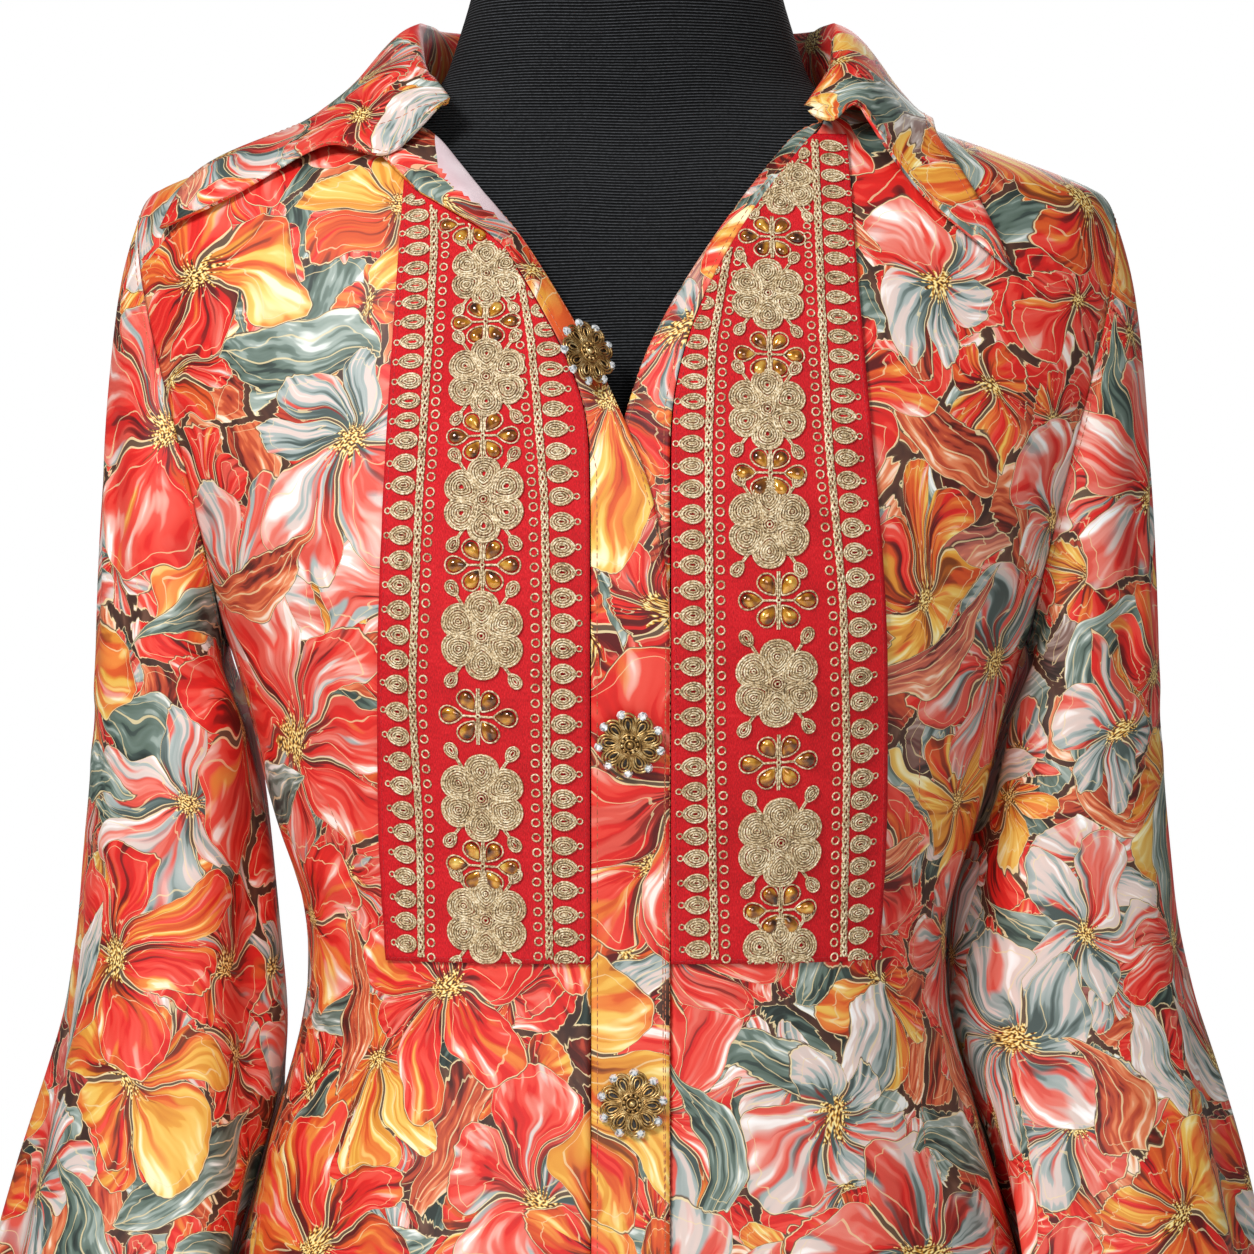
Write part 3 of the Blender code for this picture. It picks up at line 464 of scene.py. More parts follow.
def sides_of(mesh):
    """The groups of faces that the rim parts, the largest first."""
    left, groups = set(mesh.faces), []
    while left:
        start = left.pop()
        group, edge_of_search = [start], [start]
        while edge_of_search:
            face = edge_of_search.pop()
            for edge in face.edges:
                if edge.seam:
                    continue
                for neighbour in edge.link_faces:
                    if neighbour in left:
                        left.remove(neighbour)
                        group.append(neighbour)
                        edge_of_search.append(neighbour)
        groups.append(group)
    return sorted(groups, key=lambda faces: -sum(f.calc_area() for f in faces))


def straight_on(edge, vertex):
    """The edge across a vertex, which shares no face with the first."""
    near = set(edge.link_faces)
    for other in vertex.link_edges:
        if other is not edge and not near & set(other.link_faces):
            return other
    return None


def open_tube(mesh, side, start_height):
    """Marks a seam down a sleeve, from the underarm to the hem, so that it can be laid flat."""
    members = set(side)
    verts = {v for f in side for v in f.verts}
    rim = [v for v in verts if any(e.seam for e in v.link_edges) and v.co.z > start_height]
    vertex = min(rim, key=lambda v: v.co.z)
    steps = [e for e in vertex.link_edges if not e.seam and set(e.link_faces) <= members]
    edge = min(steps, key=lambda e: e.other_vert(vertex).co.z)
    while edge and not edge.seam:
        edge.seam = True
        vertex = edge.other_vert(vertex)
        edge = straight_on(edge, vertex)


# %% [markdown]
# The print has to lie on the cloth as it was cut. Blender's unwrap lays a piece flat with little stretch,
# which is what a pattern cutter does. It loses the size and the direction of the piece, so both are put
# back: the flat area is scaled to the real one, and the height of the body is turned to point up.

# %% Laying the pieces flat
# How far each piece, and each side of a piece, is moved so that it takes its own part of the print
PIECE_SHIFT = (0.37, 0.23)
SIDE_SHIFT = 0.5


def lay_flat(piece, groups, shift):
    """Unwraps a piece and returns the flat width and length of its largest side, in metres."""
    bpy.context.view_layer.objects.active = piece
    piece.select_set(True)
    bpy.ops.object.mode_set(mode="EDIT")
    bpy.ops.mesh.select_all(action="SELECT")
    bpy.ops.uv.unwrap(method="ANGLE_BASED", margin=0.02)
    bpy.ops.object.mode_set(mode="OBJECT")
    piece.select_set(False)
    data = piece.data
    layer = data.uv_layers.active
    layer.name = "cloth"
    sizes = []
    for number, faces in enumerate(groups):
        loops = np.array([i for f in faces for i in data.polygons[f].loop_indices])
        spots = np.array([data.vertices[data.loops[i].vertex_index].co for i in loops])
        flat = np.array([layer.data[i].uv for i in loops])
        real = sum(data.polygons[f].area for f in faces)
        drawn = 0.0
        for f in faces:
            corners = np.array([layer.data[i].uv for i in data.polygons[f].loop_indices])
            after = np.roll(corners, -1, axis=0)
            drawn += abs(np.sum(corners[:, 0] * after[:, 1] - corners[:, 1] * after[:, 0])) / 2
        flat = (flat - flat.mean(axis=0)) * math.sqrt(real / max(drawn, 1e-12))
        design = np.column_stack([flat, np.ones(len(flat))])
        up = np.linalg.lstsq(design, spots[:, 2], rcond=None)[0][:2]
        up = up / max(np.linalg.norm(up), 1e-9)
        turned = np.column_stack([flat @ np.array((up[1], -up[0])), flat @ up])
        turned += (shift * PIECE_SHIFT[0] + number * SIDE_SHIFT, shift * PIECE_SHIFT[1] + WAIST)
        for i, uv in zip(loops, turned):
            layer.data[i].uv = uv
        sizes.append(tuple(turned.max(axis=0) - turned.min(axis=0)))
    return sizes[0]


# %% [markdown]
# Cloth on a form is never smooth: it pulls from the bust to the armhole, buckles a little over the waist,
# and falls in long folds towards a bell's hem. Each crease here is placed one by one as a soft trough along
# a bent line, with its own length, width and depth. The same function moves the cloth and what is sewn on
# it.

# %% Creases
# Beside its trough a crease has a low ridge: how many widths away, and what share of the depth
RIDGE_AWAY = 1.7
RIDGE_SHARE = 0.35


def trough(points, start, end, bow, width, depth):
    """How far each point sinks for one crease along a bent line, in the same units as the points."""
    start, end = np.array(start, float), np.array(end, float)
    middle = (start + end) / 2 + np.array((end[1] - start[1], start[0] - end[0])) * bow
    share = np.linspace(0, 1, 15)[:, None]
    line = (1 - share) ** 2 * start + 2 * share * (1 - share) * middle + share**2 * end
    best = np.full(len(points), 1e9)
    where = np.zeros(len(points))
    for i in range(len(line) - 1):
        run = line[i + 1] - line[i]
        t = np.clip(((points - line[i]) @ run) / (run @ run), 0, 1)
        distance = np.linalg.norm(points - line[i] - t[:, None] * run, axis=1)
        nearer = distance < best
        best = np.where(nearer, distance, best)
        where = np.where(nearer, (i + t) / (len(line) - 1), where)
    taper = np.sin(math.pi * np.clip(where * 0.92 + 0.04, 0, 1)) ** 0.8
    ridge = np.exp(-((best - RIDGE_AWAY * width) ** 2) / width**2) * RIDGE_SHARE
    return depth * taper * (np.exp(-(best**2) / width**2) - ridge)


# Creases of the torso: from and to, across and height in millimetres from the middle and the waist, then
# bow, width and depth, and the least and most that all of them together may sink a point
BODY_SINK = (-0.7, 2.4)
BODY_CREASES = (
    ((-150, 150), (-104, 168), 0.10, 7, 1.7),
    ((-158, 118), (-112, 132), -0.12, 6, 1.5),
    ((-165, 172), (-128, 214), 0.16, 8, 1.6),
    ((-140, 60), (-106, 26), 0.14, 6, 1.4),
    ((-132, 18), (-100, 6), -0.10, 5, 1.3),
    ((-130, -22), (-96, -10), 0.16, 6, 1.5),
    ((-128, -50), (-82, -34), -0.14, 7, 1.2),
    ((-116, 92), (-112, 12), 0.06, 7, 1.5),
    ((-108, -20), (-120, -220), 0.04, 12, 1.8),
    ((-62, -60), (-70, -236), -0.05, 13, 1.5),
    ((150, 158), (110, 176), -0.12, 7, 1.6),
    ((160, 124), (116, 140), 0.10, 6, 1.5),
    ((166, 182), (134, 224), -0.14, 8, 1.6),
    ((138, 52), (110, 20), -0.16, 6, 1.4),
    ((133, 10), (104, 2), 0.12, 5, 1.3),
    ((130, -26), (98, -16), -0.14, 6, 1.5),
    ((126, -56), (84, -40), 0.12, 7, 1.2),
    ((118, 86), (116, 6), -0.05, 7, 1.5),
    ((112, -24), (126, -224), -0.04, 12, 1.8),
    ((58, -70), (66, -236), 0.05, 13, 1.4),
    ((-70, -8), (-30, -22), 0.10, 6, 0.8),
    ((72, -10), (34, -24), -0.10, 6, 0.8),
)


def body_moves(points):
    """How the torso's creases move points on it: towards the middle of the body."""
    spots = points[:, (0, 2)] / MM - (0, WAIST / MM)
    sink = np.zeros(len(points))
    for start, end, bow, width, depth in BODY_CREASES:
        sink += trough(spots, start, end, bow, width, depth)
    inward = TORSO_AXIS - points[:, :2]
    inward /= np.linalg.norm(inward, axis=1, keepdims=True)
    moves = np.zeros_like(points)
    moves[:, :2] = inward * np.clip(sink, *BODY_SINK)[:, None] * MM
    return moves


# The least and most that all the folds together may sink a sleeve, and where they fade out towards its cap
SLEEVE_SINK = (-2.2, 7.0)
SLICE = 14 * MM
DEGREE = 0.9
SMOOTH_ABOVE = 262
SMOOTH_RUN = 60
# Folds of a sleeve: turn from the outside in degrees and height from the waist, widths in millimetres
SLEEVE_CREASES = (
    ((70, 250), (78, 90), 0.05, 9, 2.6),
    ((30, 235), (40, 120), -0.05, 10, 2.0),
    ((-35, 240), (-44, 96), 0.05, 10, 2.2),
    ((-95, 215), (-88, 60), 0.04, 10, 2.6),
    ((118, 170), (60, 96), 0.16, 8, 2.2),
    ((126, 118), (64, 52), 0.18, 8, 2.4),
    ((10, 92), (64, 60), -0.20, 8, 1.8),
    ((120, 40), (50, 6), 0.20, 8, 2.4),
    ((20, 34), (72, 16), -0.22, 7, 1.8),
    ((-130, 90), (-70, 40), 0.18, 9, 2.2),
    ((-120, 20), (-60, 0), 0.20, 8, 2.0),
    ((62, -10), (70, -248), 0.03, 13, 4.6),
    ((132, 70), (138, -248), 0.03, 13, 6.4),
    ((24, -30), (30, -248), -0.03, 14, 4.4),
    ((100, -20), (108, -248), 0.04, 13, 4.2),
    ((-22, -30), (-26, -248), 0.03, 14, 4.2),
    ((-68, -20), (-74, -248), -0.04, 14, 4.4),
    ((-112, -40), (-118, -248), 0.03, 13, 3.6),
    ((146, -60), (150, -248), 0.02, 12, 2.6),
)


def sleeve_moves(points, side):
    """How a sleeve's folds move its points: towards the middle of the sleeve at that height."""
    heights = points[:, 2]
    bins = np.linspace(heights.min(), heights.max(), 40)
    middles = []
    for height in bins:
        near = np.abs(heights - height) < SLICE
        box = points[near][:, :2]
        middles.append((box.max(axis=0) + box.min(axis=0)) / 2)
    middles = np.array(middles)
    hub = np.column_stack([np.interp(heights, bins, middles[:, axis]) for axis in (0, 1)])
    offset = points[:, :2] - hub
    reach = np.linalg.norm(offset, axis=1, keepdims=True)
    turn = np.degrees(np.arctan2(-offset[:, 1], offset[:, 0] * side))
    rise = (heights - WAIST) / MM
    cap = np.clip((SMOOTH_ABOVE - rise) / SMOOTH_RUN, 0, 1)
    sink = np.zeros(len(points))
    for lap in (-360, 0, 360):
        spots = np.column_stack([(turn + lap) * DEGREE, rise])
        for start, end, bow, width, depth in SLEEVE_CREASES:
            near = (start[0] * DEGREE, start[1])
            far = (end[0] * DEGREE, end[1])
            sink += trough(spots, near, far, bow, width, depth)
    moves = np.zeros_like(points)
    moves[:, :2] = -offset / reach * (np.clip(sink, *SLEEVE_SINK) * cap)[:, None] * MM
    return moves


# %% [markdown]
# Every piece is now made in the same steps: copied, laid flat, rounded, creased and given its two finishes,
# print outside and a pale wrong side within. A piece that curves too much to be laid flat in one go, such
# as a band round the neck, is measured as a straight strip instead.

# %% Meshes and objects
body = next(iter(frame["bodies"]))


def meshed(name, mesh):
    """The finished mesh of a bmesh, which is freed."""
    data = bpy.data.meshes.new(name)
    mesh.to_mesh(data)
    mesh.free()
    return data


def shown(name, data, *finishes):
    """A mesh as an object of the scene, with its finishes in order."""
    for finish in finishes:
        data.materials.append(finish)
    piece = bpy.data.objects.new(name, data)
    bpy.context.scene.collection.objects.link(piece)
    return piece


def rounded(piece, levels):
    """The piece with a subdivision surface worked into its mesh."""
    rounding = piece.modifiers.new("rounding", "SUBSURF")
    rounding.levels = levels
    rounding.render_levels = levels
    return frozen(piece)


def dressed(piece, slot, *solids):
    """A finished piece: it rides on the body and stands for its solids, which are hidden. The slot is not
    used.
    """
    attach(piece, body)
    if solids:
        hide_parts(*solids)
    return piece


def frozen(piece):
    """The piece with its modifiers worked into its mesh."""
    bpy.context.view_layer.update()
    graph = bpy.context.evaluated_depsgraph_get()
    data = bpy.data.meshes.new_from_object(piece.evaluated_get(graph))
    piece.modifiers.clear()
    old, piece.data = piece.data, data
    bpy.data.meshes.remove(old)
    return piece


def moved_by(piece, rule):
    """Shifts a piece's points by what a rule gives for them."""
    count = len(piece.data.vertices)
    points = np.empty(count * 3)
    piece.data.vertices.foreach_get("co", points)
    points = points.reshape(-1, 3)
    points += rule(points)
    piece.data.vertices.foreach_set("co", points.ravel())
    piece.data.update()


# %% Making a cloth piece
# A piece that fills less of its flat box than this is measured as a strip, with a little ease
STRIP_FILL = 0.36
STRIP_EASE = 1.02


def strip_size(area, edge_length):
    """Width and length of a straight strip with this area and this length of edge."""
    half = edge_length / 2
    width = (half - math.sqrt(max(half * half - 4 * area, 0.0))) / 2
    return width * STRIP_EASE, (half - width) * STRIP_EASE


def cloth_piece(
    name, levels, shift, both_printed=False, tube=None, rule=None,
    slot="printed_cloth", finish=PRINTED,
):
    """A sewn piece on its solid's form: copied, laid flat, rounded, creased and finished."""
    mesh = cloth_copy(name)
    groups = sides_of(mesh)
    if tube is not None:
        for side in groups[:2]:
            open_tube(mesh, side, tube)
    mesh.faces.index_update()
    numbers = [[face.index for face in side] for side in groups]
    members = set(groups[0])
    around = {edge for face in groups[0] for edge in face.edges if not set(edge.link_faces) <= members}
    # The collar turns over at its edge, so its largest group is both faces of the cloth
    edge_length = sum(edge.calc_length() for edge in around) / (2 if both_printed else 1)
    piece = shown(f"{name}_cloth", meshed(f"{name}_cloth", mesh), finish, WRONG_SIDE)
    if not both_printed:
        for number in numbers[1]:
            piece.data.polygons[number].material_index = 1
    piece.data.shade_smooth()
    width, length = lay_flat(piece, numbers, shift)
    rounded(piece, levels)
    if rule:
        moved_by(piece, rule)
    area = sum(face.area for face in piece.data.polygons) / 2
    if area < STRIP_FILL * width * length:
        width, length = strip_size(area, edge_length)
    dressed(piece, slot, name)
    return piece


# %% The shirt's pieces
def left_folds(points):
    return sleeve_moves(points, 1.0)


def right_folds(points):
    return sleeve_moves(points, -1.0)


UNDERARM = WAIST + 0.05
right_front = cloth_piece("right_front", 3, 1, rule=body_moves)
left_front = cloth_piece("left_front", 3, 2, rule=body_moves)
back = cloth_piece("back", 2, 3, rule=body_moves)
right_sleeve = cloth_piece("right_sleeve", 3, 4, tube=UNDERARM, rule=right_folds)
left_sleeve = cloth_piece("left_sleeve", 3, 5, tube=UNDERARM, rule=left_folds)
under_band = cloth_piece("under_band", 2, 6, rule=body_moves)
button_band = cloth_piece("button_band", 2, 7, rule=body_moves)
collar = cloth_piece("collar", 2, 8, both_printed=True)

# The tuck at the ends of the collar's stand: where it fades across and in depth, where it ends, its size
TUCK_ACROSS = (78, 92)
TUCK_DEEP = (-62, -56)
TUCK_FRONT = -40
TUCK_TOP = 343
TUCK = 7.0


def tuck_ends(piece):
    """Hides the ends of the collar's stand behind its roll."""
    for vertex in piece.data.vertices:
        x, y, rise = vertex.co.x / MM, vertex.co.y / MM, (vertex.co.z - WAIST) / MM
        near = np.interp(abs(x), TUCK_ACROSS, (1, 0)) * np.interp(y, TUCK_DEEP, (0, 1))
        if y < TUCK_FRONT and rise < TUCK_TOP:
            vertex.co.x += math.copysign(TUCK * near, x) * MM


tuck_ends(collar)

# %% [markdown]
# Near the collar the real button band turns over a little, so the pale wrong side of the cloth shows, and it
# was cut wider there, so it covers the neck edge of the ribbon. The turn is only a change of finish on the
# faces beside the edge. The width could be modelled as a second piece, but a band is one strip of cloth, so
# its own points are moved outwards along the form and lifted clear of the ribbon in one soft swell.

# %% The neck edge of the button band
# Height above the waist and how far across the neck edge lies there, then how much wider the band is
TURNED_EDGE = ((283, -38.5), (294, -45), (315, -60), (337, -76))
SPARE_WIDTH = ((282, 0), (290, 4.4), (306, 22), (330, 28))
TURNED_WIDTH = 5.5
BAND_WIDTH = 12.5
CLEAR_OF_RIBBON = 2.0 * MM
LIFT_SLOPE = 0.3
IN_FRONT = -0.4
FACING_SHARE = 0.3


def surface_of(data):
    """A mesh's faces, arranged so that rays can be cast at them."""
    faces = [tuple(face.vertices) for face in data.polygons]
    return BVHTree.FromPolygons([vertex.co.copy() for vertex in data.vertices], faces)


def seen_from_front(surface, x, z):
    """Where a ray from the front meets a surface at this width and height, and the way out there."""
    return surface.ray_cast(Vector((x, IN_FRONT, z)), Vector((0, 1, 0)))[:2]


form_surface = surface_of(nodes["dress_form"].data)


def turn_over(piece):
    rises, edge = np.array(TURNED_EDGE, float).T
    count = 0
    for face in piece.data.polygons:
        rise = (face.center.z - WAIST) / MM
        swell = math.sin(math.pi * min(max((rise - rises[0]) / (rises[-1] - rises[0]), 0.0), 1.0))
        inwards = np.interp(rise, rises, edge) - face.center.x / MM
        if swell > 0 and face.normal.y < 0 and inwards < TURNED_WIDTH * swell:
            face.material_index = 1
            count += 1
    print(count, "faces of", piece.name, "show the wrong side")


turn_over(button_band)


def neck_and_spare(rise):
    """Where the neck edge lies at a height, and how much wider the band is there."""
    rises, edge = np.array(TURNED_EDGE, float).T
    return float(np.interp(rise, rises, edge)), float(np.interp(rise, *np.array(SPARE_WIDTH, float).T))


def form_depth(x, z):
    """How far back the form lies at this width and height."""
    place, _ = seen_from_front(form_surface, x, z)
    return place.y if place else 0.0


def widened(point):
    """A point of the plain band, moved to where it lies on the wider one."""
    edge, spare = neck_and_spare((point[2] - WAIST) / MM)
    share = min(max((edge - point[0] / MM) / BAND_WIDTH, 0.0), 1.0)
    x = point[0] - share * spare * MM
    sink = form_depth(x, point[2]) - form_depth(point[0], point[2])
    return Vector((x, point[1] + sink, point[2]))


def widen_band(band, ribbon):
    """Moves the band's edge out and lays it on the ribbon."""
    layer = band.data.uv_layers["cloth"].data
    under = surface_of(ribbon.data)
    places = [widened(vertex.co) for vertex in band.data.vertices]
    steps = [place.x - vertex.co.x for place, vertex in zip(places, band.data.vertices)]
    needs = []
    for vertex, place, step in zip(band.data.vertices, places, steps):
        if step < 0 and vertex.normal.y < -FACING_SHARE:
            below, _ = seen_from_front(under, place.x, place.z)
            if below and place.y > below.y - CLEAR_OF_RIBBON:
                needs.append((place.x, place.z, place.y - below.y + CLEAR_OF_RIBBON))
    needs = np.array(needs)
    for vertex, place, step in zip(band.data.vertices, places, steps):
        if step < 0:
            away = np.hypot(needs[:, 0] - place.x, needs[:, 1] - place.z)
            place.y -= max(float(np.max(needs[:, 2] - away * LIFT_SLOPE)), 0.0)
        vertex.co = place
    for loop in band.data.loops:
        layer[loop.index].uv.x += steps[loop.vertex_index]
    wider, lifted = -min(steps) / MM, needs[:, 2].max() / MM
    print("the band is wider by up to", round(wider, 1), "mm, lifted", round(lifted, 1))


# %% [markdown]
# Two broad ribbons are sewn beside the opening, and gold thread is couched on them: a thick thread is laid
# on the surface in loops and held down by tiny stitches, so petals are made of thread that follows their
# outline round and round. To lay thread on a curved panel, every point of a flat drawing is dropped on the
# panel along its normal. Where the drawing runs off the panel the thread is simply cut, as the real ribbon
# was cut along the neck and at its end.

# %% The ribbon
def ribbon_red():
    recipe = Recipe("red_ribbon")
    flat = recipe.place("cloth")
    across, along, _ = recipe.split(flat)
    warp = (across * (math.tau / (0.55 * MM))).sum("SINE")
    weft = (along * (math.tau / (0.62 * MM))).sum("SINE")
    cloudy = recipe.noise(flat, 60.0, 3.0)
    fleck = recipe.noise(recipe.vector("MULTIPLY", flat, (1.0, 0.3, 1.0)), 2400.0, 1.0)
    tone = warp * weft * 0.13 + (cloudy - 0.5) * 0.35 + (fleck - 0.5) * 0.7 + 0.5
    colour = recipe.ramp(tone, ((0.15, "7a020a"), (0.45, "c20413"), (0.6, "d90c1c"), (0.9, "ee3a3e")))
    return recipe.finish(
        Base_Color=colour, Roughness=0.6, Specular_IOR_Level=0.3,
        Normal=recipe.bump(warp * weft + fleck, 0.12 * MM, 0.6),
    )


def gold_thread(name, dark, middle, pale):
    recipe = Recipe(name)
    place = recipe.place()
    twist_and_glint = recipe.noise(place, 1100.0, 2.0, 0.7)
    worn = recipe.noise(place, 120.0, 2.0)
    # Partly painted light: the fine twist noise puts pale glints and dark shade into the colour as well as
    # the bump; the wear noise is the thread's own tone
    tone = (twist_and_glint - 0.5) * 2.6 + (worn - 0.5) * 0.5 + 0.5
    colour = recipe.ramp(tone, ((0.1, dark), (0.5, middle), (0.85, pale)))
    return recipe.finish(
        Base_Color=colour, Roughness=0.42, Specular_IOR_Level=0.7, Normal=recipe.bump(twist_and_glint, 0.15 * MM, 0.8)
    )


RIBBON_RED = ribbon_red()
FILLING = gold_thread("gold_filling", "6d5433", "cdb183", "f5e9cb")
OUTLINE = gold_thread("gold_outline", "a58a5e", "e3cfa6", "fdf5dd")
# Painted shade: the nearly black thread under the filling darkens the gaps between its rounds
GAP_SHADE_THREAD = gold_thread("gold_gap_shade", "32230f", "6f5730", "a3875a")
right_panel = cloth_piece(
    "right_embroidered_panel", 3, 9, rule=body_moves,
    slot="red_ribbon", finish=RIBBON_RED,
)
left_panel = cloth_piece(
    "left_embroidered_panel", 3, 10, rule=body_moves,
    slot="red_ribbon", finish=RIBBON_RED,
)
widen_band(button_band, right_panel)

# %% Laying thread on a panel
SAME_WAY = 0.6
DROP_FROM = 8.0
DROP_REACH = 20 * MM


class Spot:
    """A place on a panel with its two directions along the cloth and the way out of it."""

    def __init__(self, middle, across, along, out):
        self.middle, self.across, self.along, self.out = middle, across, along, out

    def turned(self, angle):
        cosine, sine = math.cos(angle), math.sin(angle)
        across = self.across * cosine + self.along * sine
        along = self.along * cosine - self.across * sine
        return Spot(self.middle, across, along, self.out)

    def at(self, x, y, height=0.0):
        flat = self.middle + self.across * (x * MM) + self.along * (y * MM)
        return flat + self.out * (height * MM)


class Ground:
    """The outer face of a sewn piece, on which thread and stones are laid."""

    def __init__(self, piece, under_band=False):
        self.surface = surface_of(piece.data)
        self.threads = []
        self.under_band = under_band

    def covered(self, place):
        """Whether the wider part of the band lies over this place."""
        edge, spare = neck_and_spare((place.z - WAIST) / MM)
        return self.under_band and spare > 0 and place.x / MM > edge - BAND_WIDTH - spare - 1.0

    def spot(self, x, rise):
        """The place that faces the viewer at this width and height."""
        place, out = seen_from_front(self.surface, x * MM, WAIST + rise * MM)
        if place is None or -out.y < FACING_SHARE:
            return None
        across = Vector((1, 0, 0)) - out * out.x
        across.normalize()
        return Spot(place, across, out.cross(across), out)

    def dropped(self, spot, x, y, lift):
        """A point of a flat drawing, dropped on the cloth and lifted off it again."""
        place, out, _, _ = self.surface.ray_cast(spot.at(x, y, DROP_FROM), -spot.out, DROP_REACH)
        if place is None or out.dot(spot.out) < SAME_WAY or self.covered(place):
            return None
        return place + out * (lift * MM)

    def lay(self, spot, drawing, radius, lift=0.0, closed=False, finish=0):
        """Adds a thread along a drawing; it is cut where it runs off the cloth."""
        points = [self.dropped(spot, x, y, lift + radius * 0.8) for x, y in drawing]
        self.add(points, radius, closed, finish)

    def add(self, points, radius, closed=False, finish=0):
        if closed and all(points):
            self.threads.append((points, radius, True, finish))
            return
        if closed:
            first_gap = points.index(None)
            points = points[first_gap:] + points[:first_gap]
        run = []
        for point in points + [None]:
            if point is not None:
                run.append(point)
            elif run:
                if len(run) > 1:
                    self.threads.append((run, radius, False, finish))
                run = []


def teardrop(length, width, sharpness, count, start=0.0):
    """A drop's outline: its point lies at the start, its round end at the start plus the length."""
    turn = np.arange(count) / count * math.tau
    across = np.sin(turn) * np.sin(turn / 2) ** sharpness
    across *= width / 2 / np.abs(across).max()
    along = start + length * (1 - np.cos(turn)) / 2
    return np.column_stack([across, along])


def ring(radius, count, x=0.0, y=0.0):
    turn = np.arange(count) / count * math.tau
    return np.column_stack([x + radius * np.cos(turn), y + radius * np.sin(turn)])


def filled_drop(ground, spot, start, length, width, sharpness, radius=0.42, dome=0.5, step=1.2):
    """Thread that goes round and round inside a drop, over thick dark thread laid only as painted shade in
    the gaps between the rounds.
    """
    # Painted shade: thick dark rounds sunk under the gold ones, seen only in the gaps between them
    shade_thread_radius = min(0.85, width / 6)
    for k in range(max(int(width / 2 / (shade_thread_radius * 1.7)), 1)):
        inset = shade_thread_radius + k * shade_thread_radius * 1.7
        long, wide = max(length - inset * 2.2, 0.8), max(width - inset * 2, 0.4)
        drawing = teardrop(long, wide, sharpness, max(int((long + wide) * 0.9), 5), start + inset * 1.2)
        ground.lay(spot, drawing, shade_thread_radius, dome * 0.6 - shade_thread_radius * 1.45, closed=True, finish=2)
    rounds = max(int((width / 2 - radius) / (radius * 2.4)) + 1, 1)
    for k in range(rounds):
        inset = radius + k * radius * 2.4
        long, wide = length - inset * 2.2, width - inset * 2
        if long < 1.0 or wide < 0.3:
            break
        count = max(int((long + wide) * 1.6 / step), 6)
        drawing = teardrop(long, wide, sharpness, count, start + inset * 1.2)
        height = dome * (1 - (1 - k / rounds) ** 2) + (0.3 if k == 0 else 0.0)
        ground.lay(spot, drawing, radius, height, closed=True, finish=0 if k else 1)


# %% [markdown]
# The ornament repeats down each ribbon: a six-petal flower with a bud on a stalk at each corner, then a
# small flower of six glass drops, joined by a short stem. Each kind of motif is one function that draws it
# at a spot, so the whole ribbon is a short list of places.

# %% The flower of couched thread
PETALS = 6
BUD_TURNS = (0.58, -0.58, math.pi - 0.62, math.pi + 0.62)


def couched_flower(ground, x, rise, radius):
    spot = ground.spot(x, rise)
    if spot is None:
        return
    for petal in range(PETALS):
        turned = spot.turned(petal * math.tau / PETALS)
        filled_drop(ground, turned, radius * 0.13, radius * 0.87, radius * 0.78, 0.55)
    for k, size in enumerate((0.17, 0.12, 0.06)):
        drawing = ring(radius * size, 12 - 3 * k)
        ground.lay(spot, drawing, 0.42, 0.75 + 0.1 * k, closed=True, finish=1)
    for corner in BUD_TURNS:
        turned = spot.turned(corner)
        for side in (-0.35, 0.35):
            stalk = [(side, radius * share) for share in np.linspace(0.78, 1.08, 4)]
            ground.lay(turned, stalk, 0.36, finish=1)
        filled_drop(ground, turned, radius * 1.02, radius * 0.42, radius * 0.31, 0.4, 0.36, 0.3, 0.9)


# %% The flower of glass drops
STONE_LENGTH = 8.4
STONE_WIDTH = 6.2
STONE_HEIGHT = 2.0
STONE_TURNS = (-90, 90, -35, 35, -145, 145)
stone_meshes = {}


def glass_drop(ground, spot, start, length, width):
    """One stone: a ball pulled into a drop, flat below, pointing at the flower's middle."""
    mesh = stone_meshes.setdefault(ground, bmesh.new())
    made = bmesh.ops.create_uvsphere(mesh, u_segments=16, v_segments=8, radius=1.0)
    middle = spot.middle
    seat = ground.dropped(spot, 0.0, start + length / 2, 0.0)
    if seat is None:
        bmesh.ops.delete(mesh, geom=made["verts"], context="VERTS")
        return
    for vertex in made["verts"]:
        x, y, z = vertex.co
        narrow = (0.5 + 0.5 * y) ** 0.42 if y > -1 else 0.0
        across = x * narrow * width / 2 * 1.12
        along = start + length * (1 + y) / 2
        height = z * STONE_HEIGHT if z > 0 else z * 0.2
        place = spot.at(across, along) - middle
        drop = (seat - spot.at(0.0, start + length / 2)).dot(spot.out)
        vertex.co = middle + place + spot.out * (drop + (height * narrow + 0.25) * MM)


def stone_flower(ground, x, rise, scale=1.0):
    spot = ground.spot(x, rise)
    if spot is None:
        return
    for degrees in STONE_TURNS:
        flat = abs(degrees) == 90
        start = (6.0 if flat else 2.4) * scale
        length = STONE_LENGTH * scale
        turned = spot.turned(math.radians(degrees))
        glass_drop(ground, turned, start + 0.5, length - 0.4, STONE_WIDTH * scale)
        drawing = teardrop(length + 0.9, STONE_WIDTH * scale + 0.9, 0.75, 20, start)
        ground.lay(turned, drawing, 0.4, closed=True, finish=1)
        if flat:
            ground.lay(turned, [(0, 0.5), (0, start * 0.5), (0, start)], 0.5, 0.1, finish=1)
    ground.lay(spot, ring(0.9, 8), 0.45, 0.3, closed=True, finish=1)
    for end in (-1, 1):
        for side in (-0.42, 0.42):
            stem = [(side, end * y * scale) for y in (0.8, 3.5, 6.0, 8.5, 11.0)]
            ground.lay(spot, stem, 0.38, 0.1, finish=1)


